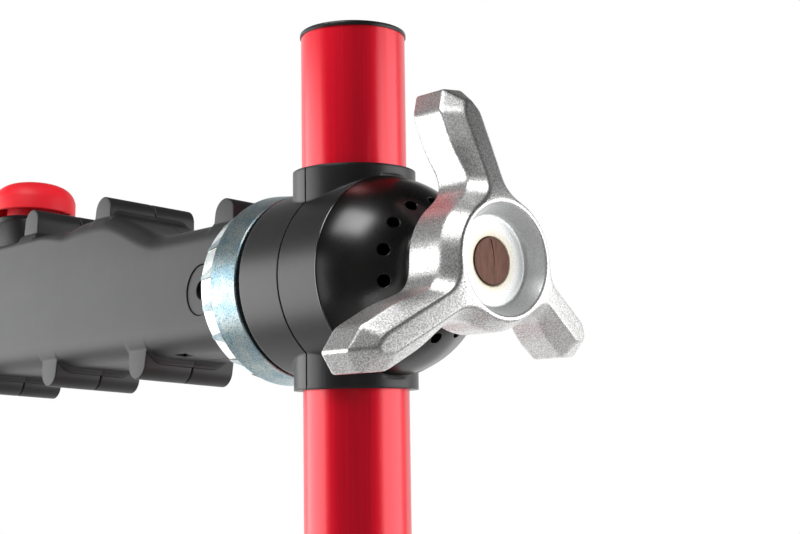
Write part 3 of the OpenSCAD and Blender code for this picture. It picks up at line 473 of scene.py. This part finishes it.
def knobField(x, y, z):
    # how far a point lies outside the casting, in mm, negative inside; X is the head's axis
    k = knobShape
    cut = radians(k["tipTurn"])
    radius = np.hypot(y, z)
    plan = radius - k["face"]
    for i in range(k["wings"]):
        turn = radians(k["wingTurn"] + 360 * i / k["wings"])
        along = z * cos(turn) - y * sin(turn)
        across = np.abs(y * cos(turn) + z * sin(turn)) - k["wingFace"]
        end = along - k["wingReach"] + k["bevel"]
        wing = softMax(across, end, k["tipEdge"])
        wing = softMax(wing, across * cos(cut) + end * sin(cut) + k["tip"], k["tipEdge"])
        plan = softMin(plan, np.maximum(wing, -along), k["fillet"])
    bend = k["bend"]
    depth = k["front"] - bend * k["lean"] * np.log1p(np.exp((radius - k["root"]) / bend)) - x
    near, far = k["bevelFrom"]
    bevel = k["hubBevel"] + (k["bevel"] - k["hubBevel"]) * smoothStep((radius - near) / (far - near))
    side = plan - softMin(depth * bevel / k["bevelDeep"], bevel, k["ridge"])
    hubShare = np.clip((k["face"] + k["bevel"] + k["hubRun"] - radius) / k["hubFade"], 0, 1)
    thick = k["wingDeep"] + (k["front"] - k["back"] - k["wingDeep"]) * hubShare
    solid = softMax(softMax(side, -depth, k["edge"]), depth - thick, k["backEdge"])
    slope = (k["recess"] - k["floorRadius"]) / (k["front"] - k["floor"])
    cone = radius - k["recess"] + (k["front"] - x) * slope
    solid = softMax(solid, -softMax(cone, k["floor"] - x, k["floorEdge"]), k["rimEdge"])
    return softMax(solid, k["bore"] - radius, k["boreEdge"])


skinShape = dict(passes=2, step=0.2, flattest=0.2)        # how the points are drawn on to a field's surface


def fieldSlope(field, spots, step):
    ways = step * np.eye(3)
    return np.stack([(field(*(spots + d).T) - field(*(spots - d).T)) / (2 * step) for d in ways], 1)


def skinMesh(name, field, low, high, cell, place):
    # the surface where a field is zero, as quads: one point in each cell that it crosses
    axes = [np.arange(a, b + cell, cell) for a, b in zip(low, high)]
    value = field(*np.meshgrid(*axes, indexing="ij"))
    inside = value < 0
    shape = [n - 1 for n in value.shape]

    def corner(array, at):
        return array[at[0]:at[0] + shape[0], at[1]:at[1] + shape[1], at[2]:at[2] + shape[2]]

    sums, hits = np.zeros((*shape, 3)), np.zeros(shape)
    for axis in range(3):
        others = [i for i in range(3) if i != axis]
        for a in (0, 1):
            for b in (0, 1):
                start = np.zeros(3, int)
                start[others] = a, b
                end = start.copy()
                end[axis] = 1
                v, w = corner(value, start), corner(value, end)
                crossed = (v < 0) != (w < 0)
                sums[..., axis] += np.where(crossed, v / np.where(crossed, v - w, 1), 0)
                sums[..., others[0]] += crossed * a
                sums[..., others[1]] += crossed * b
                hits += crossed
    live = hits > 0
    number = np.full(shape, -1)
    number[live] = np.arange(live.sum())
    spots = np.array(low) + (np.argwhere(live) + sums[live] / hits[live][:, None]) * cell
    for _ in range(skinShape["passes"]):        # slide each point along the field's slope on to the surface
        slope = fieldSlope(field, spots, skinShape["step"] * cell)
        move = field(*spots.T) / np.maximum((slope ** 2).sum(1), skinShape["flattest"])
        spots = spots - slope * np.clip(move, -cell, cell)[:, None]
    faces = []
    for axis in range(3):
        side, cells = np.moveaxis(inside, axis, 0), np.moveaxis(number, axis, 0)
        change = side[:-1, 1:-1, 1:-1] != side[1:, 1:-1, 1:-1]
        around = (cells[:, :-1, :-1], cells[:, 1:, :-1], cells[:, 1:, 1:], cells[:, :-1, 1:])
        faces.append(np.stack([each[change] for each in around], 1))
    mesh = bpy.data.meshes.new(name)
    mesh.from_pydata((spots * mm).tolist(), [], np.concatenate(faces).tolist())
    net = bmesh.new()
    net.from_mesh(mesh)
    bmesh.ops.recalc_face_normals(net, faces=net.faces)
    net.transform(place)
    net.to_mesh(mesh)
    net.free()
    mesh.shade_smooth()
    return mesh


reach = knobShape["wingReach"] + knobShape["margin"]
back, front = knobShape["span"]
knobBox = (back, -reach, -reach), (front, reach, reach)
knobMesh = skinMesh("wingKnob", knobField, *knobBox, knobShape["cell"], headPlace)
linkPiece("wingKnob", knobMesh, "knob", "cast_aluminium", "head_knob")
print("knob done:", len(knobMesh.polygons), "faces")

padShape = dict(voxel=1.2 * mm, factor=0.5, passes=5, keep=0.4)


def softCopy(name, node, body):
    # a copy of a rubber CAD solid with its edges rounded, as a mould leaves them
    scratch = addObject(name + "Scratch", frame["nodes"][node].data.copy())
    remesh = scratch.modifiers.new("skin", "REMESH")
    remesh.mode = "VOXEL"
    remesh.voxel_size = padShape["voxel"]
    smooth = scratch.modifiers.new("tumble", "SMOOTH")
    smooth.factor = padShape["factor"]
    smooth.iterations = padShape["passes"]
    thin = scratch.modifiers.new("thin", "DECIMATE")
    thin.ratio = padShape["keep"]
    mesh = applyModifiers(scratch)
    bpy.data.objects.remove(scratch)
    mesh.shade_smooth()
    linkPiece(name, mesh, body, "rubber", node)


softCopy("rearPad", "rear_jaw_pad", "arm")
softCopy("frontPad", "front_jaw_pad", "moving_jaw")
for i in (1, 2, 3):
    softCopy("footCap%d" % i, "foot_%d" % i, "leg_body_%d" % i)
print("rounded copies done")

armShape = dict(
    start=50.9, end=300, step=3,        # along the arm, from the head's axis
    side=23.2, low=23.3, top=26.3, high=40.3, bench=37.8,        # half width, heights from the axis
    rise=(98, 150), drop=(167, 184),        # where the top climbs, and where it falls to the button's bench
    topRound=(8, 8, 3), roundFrom=((110, 155), (170, 205)), topSteps=8,        # upper edges, and their change
    lowRound=11, lowSteps=10, sideRows=(15, 4, -4, -10),        # lower edges, and rows on the flat side
    split=2.5, seam=0.35, gap=0.15,        # the joint between the shells, its chamfer, what ribs leave free
    ribSide=(20.2, 22.8), topRibWide=14.2, lowRibWide=14.6,        # ribs end short of the near side
    ribRoot=2.5, rootFade=4, ribRows=(0, 0.1, 0.25, 0.45, 0.7, 1),        # a rib's root fillet, rows over it
    ribTaper=0.9, ribSteps=16, ribEdge=0.7, ribSunk=5.5,
    topRibs=((57, 35.3), (151.7, 49), (219.3, 52.3)), lowRibs=(115, 191, 267), lowRibReach=32.2,
    slotAt=(90, -13, -22), slotSize=(8, 5, 5),
    barrelAt=65.6, barrelBore=10.1, barrelCut=(2, 4), barrelTurns=48)
blockShape = dict(
    at=257.5, long=28, wide=20.2, square=4, foot=34, top=51, edge=1.6, turns=64,        # square is a power
    edgeShare=0.3, bore=15.9, boreFoot=40, collar=18.2, collarTop=54.2, collarEdge=0.5)


def ribRoots(x, ribs, wide):
    # height of the small fillet where a rib leaves the arm
    r = armShape["ribRoot"]
    gaps = [abs(x - rib) - wide / 2 for rib in ribs]
    gap = min(max(min(gaps), 0), r)
    return r - (r * r - (r - gap) ** 2) ** 0.5


def armTop(x):
    s = armShape
    (a, b), (c, d) = s["rise"], s["drop"]
    height = s["top"] + (s["high"] - s["top"]) * smoothStep((x - a) / (b - a))
    return height - (s["high"] - s["bench"]) * smoothStep((x - c) / (d - c))


def armTopRound(x):
    near, middle, far = armShape["topRound"]
    (a, b), (c, d) = armShape["roundFrom"]
    first, second = smoothStep((x - a) / (b - a)), smoothStep((x - c) / (d - c))
    return near + (middle - near) * first + (far - middle) * second


def shellOutline(x, side):
    # one half of the arm's section, from the top of the joint round to its foot; side is -1 near, 1 far
    s = armShape
    width, top, low, r, q = s["side"], armTop(x), s["low"], armTopRound(x), s["lowRound"]
    split, fade = s["split"] * side, s["rootFade"]        # split is measured outwards on this side
    lift = ribRoots(x, [rib for rib, crest in s["topRibs"]], s["topRibWide"])
    sink = ribRoots(x, s["lowRibs"], s["lowRibWide"])
    points = [(split, top + lift - s["seam"]), (split + s["seam"], top + lift)]
    for k in range(s["topSteps"] + 1):
        turn = radians(90 - 90 * k / s["topSteps"])
        points.append((width - r + r * cos(turn), top - r + r * sin(turn) + lift * sin(turn) ** fade))
    points += [(width, z) for z in s["sideRows"]]        # keep the side's shading flat
    for k in range(s["lowSteps"] + 1):
        turn = radians(-90 * k / s["lowSteps"])
        points.append((width - q + q * cos(turn), -low + q + q * sin(turn) - sink * sin(turn) ** fade))
    points += [(split + s["seam"], -low - sink), (split, -low - sink + s["seam"])]
    return [(side * y, z) for y, z in points]


def armStations():
    # even steps along the arm, and close ones over the ribs' fillets
    s = armShape
    count = int((s["end"] - s["start"]) / s["step"])
    places = [s["start"] + (s["end"] - s["start"]) * k / count for k in range(count + 1)]
    ribs = [(rib, s["topRibWide"]) for rib, crest in s["topRibs"]]
    ribs += [(rib, s["lowRibWide"]) for rib in s["lowRibs"]]
    for rib, wide in ribs:
        for share in s["ribRows"]:
            places += [rib + way * (wide / 2 + share * s["ribRoot"]) for way in (-1, 1)]
    return sorted({round(x, 2) for x in places if s["start"] <= x <= s["end"]})


prismAxes = {"X": (2, 0, 1), "Y": (0, 2, 1), "Z": (0, 1, 2)}        # what X, Y, Z take of u, v, length


def closedPrism(outline, start, end, across):
    # an outline drawn out along X, Y or Z, in mm
    mesh = bmesh.new()
    rings = []
    for w in (start, end):
        spots = [Vector([(u, v, w)[i] for i in prismAxes[across]]) * mm for u, v in outline]
        rings.append([mesh.verts.new(spot) for spot in spots])
    n = len(outline)
    for k in range(n):
        mesh.faces.new((rings[0][k], rings[0][(k + 1) % n], rings[1][(k + 1) % n], rings[1][k]))
    mesh.faces.new(rings[0])
    mesh.faces.new(rings[1])
    bmesh.ops.recalc_face_normals(mesh, faces=mesh.faces)
    return mesh


def takeMesh(target, source):
    # moves one bmesh's geometry into another
    held = keepMesh("held", source)
    target.from_mesh(held)
    bpy.data.meshes.remove(held)


def bevelSharp(mesh, width):
    edges = [e for e in mesh.edges if len(e.link_faces) == 2 and e.calc_face_angle() > radians(crease)]
    bmesh.ops.bevel(
        mesh, geom=edges, offset=width * mm, segments=3, profile=0.6, affect="EDGES", clamp_overlap=True)


def ribOutline(x, base, crest, wide):
    # a rib that narrows a little to a round crest, in X and Z
    foot, half = wide / 2, wide / 2 * armShape["ribTaper"]
    up = 1 if crest > base else -1
    points = [(-x - foot, base)]
    for k in range(armShape["ribSteps"] + 1):
        turn = pi - pi * k / armShape["ribSteps"]
        points.append((-x + half * cos(turn), crest - up * half + up * half * sin(turn)))
    return points + [(-x + foot, base)]


def armCutters(side):
    # the barrel nut's bore and, on the near side, a slot in the underside
    s = armShape
    turns = [2 * pi * k / s["barrelTurns"] for k in range(s["barrelTurns"])]
    outline = [(-s["barrelAt"] + s["barrelBore"] * cos(turn), s["barrelBore"] * sin(turn)) for turn in turns]
    out, deep = s["barrelCut"]
    depth = sorted((side * (s["side"] + out), side * (s["side"] - deep)))
    cutters = [addObject("barrelCut", keepMesh("barrelCut", closedPrism(outline, *depth, "Y")))]
    if side < 0:
        (x, y, z), (long, wide, high) = s["slotAt"], s["slotSize"]
        corners = [(-x + a * long / 2, y + b * wide / 2) for a, b in ((-1, -1), (1, -1), (1, 1), (-1, 1))]
        slot = closedPrism(corners, z - high / 2, z + high / 2, "Z")
        cutters.append(addObject("slotCut", keepMesh("slotCut", slot)))
    return cutters


def blockHalf(side):
    # the button's block with its bore, one half: rings of points from the foot over the rim and down the bore
    b = blockShape
    split = side * armShape["split"] + armShape["gap"]        # how far out on this side the joint lies
    wall, edge, lip = b["collar"] - b["bore"], b["edge"], b["collarEdge"]
    soft = b["edgeShare"] * edge
    rings = [(b["foot"], 0, 0), (b["top"] - edge, 0, 0)]
    rings += [(b["top"] - soft, soft, 0), (b["top"], edge, 0)]
    rings += [(b["top"], wall, 1), (b["collarTop"] - lip, wall, 1), (b["collarTop"], wall - lip, 1)]
    rings += [(b["collarTop"], lip, 1), (b["collarTop"] - lip, 0, 1), (b["boreFoot"], 0, 1)]
    mesh = bmesh.new()
    rows = []
    for z, inset, bore in rings:        # height, inset, and 1 round the bore
        row = []
        for k in range(b["turns"] + 1):
            turn = side * pi * k / b["turns"]
            c, s = cos(turn), sin(turn)
            shares = abs(c) / (b["long"] - inset), abs(s) / (b["wide"] - inset)
            outer = sum(share ** b["square"] for share in shares) ** (-1 / b["square"])
            r = b["bore"] + inset if bore else outer
            out = max(r * abs(s), split) if 0 < k < b["turns"] else split
            row.append(mesh.verts.new(Vector((r * c - b["at"], side * out, z)) * mm))
        rows.append(row)
    for low, high in zip(rows, rows[1:]):
        for k in range(b["turns"]):
            mesh.faces.new((low[k], low[k + 1], high[k + 1], high[k]))
    mesh.faces.new([row[0] for row in rows])
    mesh.faces.new([row[-1] for row in rows])
    bmesh.ops.recalc_face_normals(mesh, faces=mesh.faces)
    return mesh


def armLoft(side):
    mesh = bmesh.new()
    rings = []
    for x in armStations():
        rings.append([mesh.verts.new((-x * mm, y * mm, z * mm)) for y, z in shellOutline(x, side)])
    n = len(rings[0])
    for a, b in zip(rings, rings[1:]):
        for k in range(n):
            mesh.faces.new((a[k], a[(k + 1) % n], b[(k + 1) % n], b[k]))
    mesh.faces.new(rings[0])
    mesh.faces.new(rings[-1])
    bmesh.ops.recalc_face_normals(mesh, faces=mesh.faces)
    return mesh


def armShell(name, side, node):
    # a lofted half of the arm with its holes, then its ribs and its half of the button's block
    s = armShape
    scratch = addObject(name + "Scratch", keepMesh(name + "Scratch", armLoft(side)))
    cutters = armCutters(side)
    for cutter in cutters:
        cut = scratch.modifiers.new("cut", "BOOLEAN")
        cut.object = cutter
        cut.solver = "EXACT"
    mesh = bmesh.new()
    mesh.from_mesh(applyModifiers(scratch))
    for spent in (*cutters, scratch):
        bpy.data.objects.remove(spent)
    near = 0.01 * mm
    hidden = [f for f in mesh.faces if all(v.co.x < near - s["end"] * mm for v in f.verts)
              or all(abs(v.co.y - s["split"] * mm) < near for v in f.verts)]
    bmesh.ops.delete(mesh, geom=hidden, context="FACES")        # the shells are hollow, the jaw closes them
    span = sorted((s["split"] + side * s["gap"], side * s["ribSide"][side > 0]))
    ribs = [(x, armTop(x) - s["ribSunk"], crest, s["topRibWide"]) for x, crest in s["topRibs"]]
    ribs += [(x, s["ribSunk"] - s["low"], -s["lowRibReach"], s["lowRibWide"]) for x in s["lowRibs"]]
    for rib in ribs:
        piece = closedPrism(ribOutline(*rib), *span, "Y")
        bevelSharp(piece, s["ribEdge"])
        takeMesh(mesh, piece)
    shell = len(mesh.faces)
    takeMesh(mesh, blockHalf(side))
    mesh.faces.ensure_lookup_table()
    for face in mesh.faces[shell:]:
        face.material_index = 1
    mesh.transform(armPlace)
    # the block's faces, finish 1, carry the painted shade
    finish = (finishes["arm_grey"], extras["block"])
    linkPiece(name, keepMesh(name, mesh, sharp=35), "arm", "arm_grey", node, finish=finish)


armShell("armShellNear", -1, "arm_shell_near")
armShell("armShellFar", 1, "arm_shell_far")
print("arm shells done")


def latheMesh(name, profile, turns, place):
    # a profile of (radius, height) pairs in mm, turned about its own Z
    mesh = bmesh.new()
    rings = []
    angles = [2 * pi * k / turns for k in range(turns)]
    for r, z in profile:
        if r < 1e-6:        # a point on the axis
            rings.append([mesh.verts.new((0, 0, z * mm))])
        else:
            rings.append([mesh.verts.new((r * mm * cos(a), r * mm * sin(a), z * mm)) for a in angles])
    for a, b in zip(rings, rings[1:]):
        for k in range(turns):
            corners = (a[k % len(a)], a[(k + 1) % len(a)], b[(k + 1) % len(b)], b[k % len(b)])
            mesh.faces.new(list({id(v): v for v in corners}.values()))
    bmesh.ops.recalc_face_normals(mesh, faces=mesh.faces)
    mesh.transform(place)
    return keepMesh(name, mesh, sharp=crease)


def closedLathe(name, profile, turns, place):
    # the same for a profile that ends where it starts: a bmesh, welded there
    held = latheMesh(name, profile, turns, place)
    mesh = bmesh.new()
    mesh.from_mesh(held)
    bpy.data.meshes.remove(held)
    bmesh.ops.remove_doubles(mesh, verts=mesh.verts, dist=weld)
    return mesh


buttonShape = dict(
    at=258.6, foot=57.4, radius=20, high=15.8, fullness=3.1, long=1.12,
    rim=1.2, rimShares=(0.6, 0.2, 0.4),        # the rim's round, in and up as shares of it
    neck=12.6, neckFoot=55, hollow=18.7, hollowDeep=5.2, steps=24, firstStep=4, turns=72)


def buttonProfile():
    # a pebble shaped cap on a plain neck, from the neck's foot up to the crown
    b = buttonShape
    neckFoot, power = b["neckFoot"] - b["foot"], 2 / b["fullness"]
    under, out, up = (share * b["rim"] for share in b["rimShares"])
    points = [(0, neckFoot), (b["neck"], neckFoot), (b["neck"], b["hollowDeep"])]
    points += [(b["hollow"], b["hollowDeep"]), (b["hollow"], 0)]
    points += [(b["radius"] - under, 0), (b["radius"] - out, up)]
    for k in range(b["firstStep"], b["steps"]):
        turn = radians(90 * k / b["steps"])
        points.append((b["radius"] * cos(turn) ** power, b["high"] * sin(turn) ** power))
    return points + [(0, b["high"])]


buttonPlace = armPlace @ Matrix.Translation((-buttonShape["at"] * mm, 0, buttonShape["foot"] * mm))
buttonPlace = buttonPlace @ Matrix.Diagonal((buttonShape["long"], 1, 1, 1))
buttonMesh = latheMesh("buttonCap", buttonProfile(), buttonShape["turns"], buttonPlace)
linkPiece("buttonCap", buttonMesh, "button", "red_plastic", "release_button")
print("button done")

pinShape = dict(at=(250.5, 45.35), radius=3, end=19.9, hole=1.5, deep=4, lip=0.3, edge=0.6, turns=32)


def pinProfile():
    # a rolled pin: hollow ends with a rounded lip
    p = pinShape
    end, hole, lip, edge = p["end"], p["hole"], p["lip"], p["edge"]
    half = [(0, end - p["deep"]), (hole, end - p["deep"]), (hole, end - lip), (hole + lip, end)]
    half += [(p["radius"] - edge, end), (p["radius"], end - edge)]
    return half + [(r, -z) for r, z in reversed(half)]


pinPlace = armPlace @ Matrix.Translation((-pinShape["at"][0] * mm, 0, pinShape["at"][1] * mm))
pinPlace = pinPlace @ Matrix.Rotation(radians(90), 4, "X")
pinMesh = latheMesh("buttonPin", pinProfile(), pinShape["turns"], pinPlace)
linkPiece("buttonPin", pinMesh, "arm", "chrome_pin", "button_pin")

seamShape = dict(        # dark line where the housing's halves meet
    radius=34.86, wide=0.55, deep=0.5, turns=120, collar=22.32, collarFoot=26.5, collarEnd=39.2)


def seamMesh():
    # a hoop round the housing and a strip down both sides of both collars
    s = seamShape
    half, deep = s["wide"] / 2, s["radius"] - s["deep"]
    profile = [(deep, -half), (s["radius"], -half), (s["radius"], half), (deep, half), (deep, -half)]
    mesh = closedLathe("hoop", profile, s["turns"], headLathe)
    inner, outer = s["collar"] - s["deep"], s["collar"]
    for side in (-1, 1):
        for up in (-1, 1):
            corners = (-half, inner), (half, inner), (half, outer), (-half, outer)
            ends = up * s["collarFoot"], up * s["collarEnd"]
            strip = closedPrism([(x, side * y) for x, y in corners], *ends, "Z")
            strip.transform(headPlace)
            takeMesh(mesh, strip)
    return keepMesh("housingSeam", mesh)


linkPiece("housingSeam", seamMesh(), "upper_mast", "black_plastic", finish=(extras["joint"],))

lipShape = dict(bead=0.6, proud=0.3, points=12, turns=144)        # the rounded lip on the dome's rim


def lipMesh():
    # a thin round bead, turned about the head's axis
    low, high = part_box("dome_cover")
    bead, inset = lipShape["bead"], lipShape["bead"] - lipShape["proud"]
    rim, start = (high.y - low.y) / 2 / mm - inset, low.x / mm + inset
    angles = [2 * pi * k / lipShape["points"] for k in range(lipShape["points"] + 1)]
    profile = [(rim + bead * cos(a), start + bead * sin(a)) for a in angles]
    mesh = closedLathe("bead", profile, lipShape["turns"], headLathe)
    bmesh.ops.recalc_face_normals(mesh, faces=mesh.faces)
    return keepMesh("domeLip", mesh, sharp=crease)


linkPiece("domeLip", lipMesh(), "upper_mast", "dome_black", finish=(extras["lip"],))

ringShape = dict(
    band=34.7, rim=36.2, long=10.7, bore=31.6, lip=25, edge=0.4, roll=0.5, step=0.05, turns=144,
    floor=(34.9, 32.8), land=(36.1, 33.1),        # radii from the rim to the ring's end
    lands=18, landAt=-5, landWide=(4.0, 1.6), landDeep=2, landSteps=4, near=0.1)


def ringProfile(start, end):
    # half section of the ring: a flared band, then a cone that the notches' floors lie on
    r = ringShape
    bore, edge, rim = r["bore"], r["edge"], end - r["long"]
    points = [(bore, start), (r["band"] - edge, start), (r["band"], start + edge)]
    points += [(r["rim"], rim - r["roll"]), (r["rim"] - edge, rim), (r["floor"][0], rim + r["step"])]
    return points + [(r["floor"][1], end), (r["lip"], end), (r["lip"], rim), (bore, rim), (bore, start)]


def ringLand(turn, start, end):
    # one land between two notches: straight below, slanting above, sloping down to the ring's end
    r = ringShape
    mesh = bmesh.new()
    rows = []
    for x, top, wide in zip((start, end), r["land"], r["landWide"]):
        angles = [turn - wide / top * k / r["landSteps"] for k in range(r["landSteps"] + 1)]
        for radius in (top, top - r["landDeep"]):
            spots = [Vector((-x, -radius * cos(a), -radius * sin(a))) * mm for a in angles]
            rows.append([mesh.verts.new(spot) for spot in spots])
    for a, b in ((0, 2), (2, 3), (3, 1), (1, 0)):
        for k in range(r["landSteps"]):
            mesh.faces.new((rows[a][k], rows[a][k + 1], rows[b][k + 1], rows[b][k]))
    # the land's two ends take finish 2, the painted shade
    for k in (0, -1):
        mesh.faces.new([rows[i][k] for i in (0, 2, 3, 1)]).material_index = 2
    bmesh.ops.recalc_face_normals(mesh, faces=mesh.faces)
    mesh.transform(headPlace)
    return mesh


def ringMesh():
    # faces take finish 0 on the band, 1 on the notches' floors, a near white zinc of painted light, and 2 on
    # the steps round them, a dark zinc of painted shade
    r = ringShape
    low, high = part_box("lock_ring")
    start, end = (headCentre.x - high[0]) / mm, (headCentre.x - low[0]) / mm
    place = headPlace @ Matrix.Rotation(radians(-90), 4, "Y")
    mesh = closedLathe("ring", ringProfile(start, end), r["turns"], place)
    for face in mesh.faces:
        spot = (face.calc_center_median() - headCentre) / mm
        past = -spot.x - (end - r["long"])
        if Vector(spot.yz).length > r["bore"] and past < r["long"] - r["near"]:
            face.material_index = 1 if past > r["near"] else 2 if past > 0 else 0
    for k in range(r["lands"]):
        turn = radians(r["landAt"]) + 2 * pi * k / r["lands"]
        takeMesh(mesh, ringLand(turn, end - r["long"] - r["roll"], end))
    return keepMesh("lockRing", mesh, sharp=30)


ringFinish = (finishes["zinc"], extras["notchFloor"], extras["notchStep"])
linkPiece("lockRing", ringMesh(), "upper_mast", "zinc", "lock_ring", finish=ringFinish)

crackShape = dict(        # across the stud's end
    face=70.22, deep=0.1, wide=0.5, path=((-0.3, 7.2), (0.3, 5.2), (0.7, 3), (1.0, 0.6), (1.1, -1.7)))


def crackMesh():
    c = crackShape
    count = len(c["path"])
    half = [c["wide"] / 2 * (1 - k / count) for k in range(count)]
    left = [(y - h, z) for (y, z), h in zip(c["path"], half)]
    right = [(y + h, z) for (y, z), h in zip(c["path"], half)]
    mesh = closedPrism(left + right[::-1], c["face"] - c["deep"], c["face"], "X")
    mesh.transform(headPlace)
    return keepMesh("studCrack", mesh)


linkPiece("studCrack", crackMesh(), "arm", "stud_steel", finish=(extras["joint"],))
print("pin, seams, lip, ring and crack done")

cameraShape = dict(azimuth=48.99, elevation=-6.95, roll=-0.81, aside=16.12, above=5.12, away=521, lens=65.0)


def cameraAxes():
    c = cameraShape
    a, e, r = radians(c["azimuth"]), radians(c["elevation"]), radians(c["roll"])
    back = Vector((sin(a) * cos(e), -cos(a) * cos(e), sin(e)))
    right = Vector((cos(a), sin(a), 0))
    up = back.cross(right)
    return cos(r) * right + sin(r) * up, -sin(r) * right + cos(r) * up, back


viewRight, viewUp, viewBack = cameraAxes()
viewFlat = Vector((viewBack.x, viewBack.y, 0)).normalized()        # towards the camera, seen from above
camera = addObject("camera", bpy.data.cameras.new("camera"))
camera.data.lens = cameraShape["lens"]
camera.data.sensor_width = 36
camera.data.clip_start = 0.01
offset = cameraShape["aside"] * viewRight + cameraShape["above"] * viewUp + cameraShape["away"] * viewBack
viewTurn = Matrix((viewRight, viewUp, viewBack)).transposed().to_4x4()
camera.matrix_world = Matrix.Translation(headCentre + offset * mm) @ viewTurn
bpy.context.scene.camera = camera
print("camera at", [round(v, 3) for v in camera.location])

studio = dict(
    left=dict(turn=-99, lift=-3, away=1.2, size=(1.42, 0.92), shine=3.15),
    right=dict(turn=84, lift=-2, away=1.2, size=(1.3, 1.05), shine=3.0),
    top=dict(turn=-50, lift=54, away=1.0, size=(0.62, 0.45), shine=7.6),
    low=dict(turn=180, lift=-38, away=1.1, size=(2.2, 0.9), shine=0.6))


def softbox(name, turn, lift, away, size, shine):
    # turn is the angle from the camera's own direction, seen from above; shine is brightness, with white at 1
    aside = Vector((-viewFlat.y, viewFlat.x, 0))
    t, h = radians(turn), radians(lift)
    direction = cos(h) * (cos(t) * viewFlat + sin(t) * aside) + Vector((0, 0, sin(h)))
    data = bpy.data.lights.new(name, "AREA")
    data.shape = "RECTANGLE"
    data.size, data.size_y = size
    data.energy = shine * pi * size[0] * size[1]
    lamp = addObject(name, data)
    lamp.location = headCentre + away * direction
    lamp.rotation_euler = (-direction).to_track_quat("-Z", "Y").to_euler()
    lamp.visible_camera = False


for name, setting in studio.items():
    softbox(name + "Softbox", **setting)

room = dict(
    front=0.08, back=1.0, sky=0.08,        # what metal sees in front of, behind and above the object
    turnAt=(-0.7, -0.35), riseAt=(0.4, 0.6),        # where that changes, as shares of a direction
    fill=0.32)        # light on everything from all round


def studioWorld():
    world = bpy.data.worlds.new("studio")
    bpy.context.scene.world = world
    world.use_nodes = True
    tree = world.node_tree
    tree.nodes.clear()
    way = addNode(tree, "ShaderNodeTexCoord").outputs["Generated"]
    facing = addNode(tree, "ShaderNodeVectorMath", {"operation": "DOT_PRODUCT"}, in0=way)
    facing.inputs[1].default_value = viewFlat
    around = mapTo(tree, facing.outputs["Value"], room["back"], room["front"], room["turnAt"])
    height = addNode(tree, "ShaderNodeSeparateXYZ", Vector=way).outputs["Z"]
    lower = mapTo(tree, height, 1.0, room["sky"], room["riseAt"])
    shade = addNode(tree, "ShaderNodeMath", {"operation": "MULTIPLY"}, in0=around, in1=lower).outputs["Value"]
    ray = addNode(tree, "ShaderNodeLightPath").outputs
    seen = {"in0": ray["Is Camera Ray"], "in1": ray["Is Transmission Ray"]}
    straight = addNode(tree, "ShaderNodeMath", {"operation": "MAXIMUM"}, **seen)
    fill = addNode(tree, "ShaderNodeBackground", {"Color": white, "Strength": room["fill"]}).outputs[0]
    mirrored = addNode(tree, "ShaderNodeBackground", {"Color": white}, Strength=shade).outputs[0]
    backdrop = addNode(tree, "ShaderNodeBackground", {"Color": white, "Strength": 1.0}).outputs[0]
    light = addNode(tree, "ShaderNodeMixShader", in0=ray["Is Glossy Ray"], in1=fill, in2=mirrored).outputs[0]
    whole = addNode(tree, "ShaderNodeMixShader", in0=straight.outputs["Value"], in1=light, in2=backdrop)
    addNode(tree, "ShaderNodeOutputWorld", in0=whole.outputs[0])


studioWorld()

paper = dict(radius=3.0, segments=96, drop=0.5 * mm, dark="#e9e9e8", light="#f1f1f0", patch=300)


def paleFloor():
    # a round of pale seamless paper under the feet
    mesh = bmesh.new()
    bmesh.ops.create_circle(mesh, cap_ends=True, segments=paper["segments"], radius=paper["radius"])
    data = keepMesh("floor", mesh)
    floor = addObject("floor", data)
    floor.location.z = -paper["drop"]
    material, tree, shader, place = startMaterial("seamlessPaper", Roughness=0.9)
    paint(tree, shader, grain(tree, place, paper["patch"], detail=2), paper["dark"], paper["light"])
    data.materials.append(material)


paleFloor()
bpy.context.scene.view_settings.view_transform = "Standard"
print("studio done")
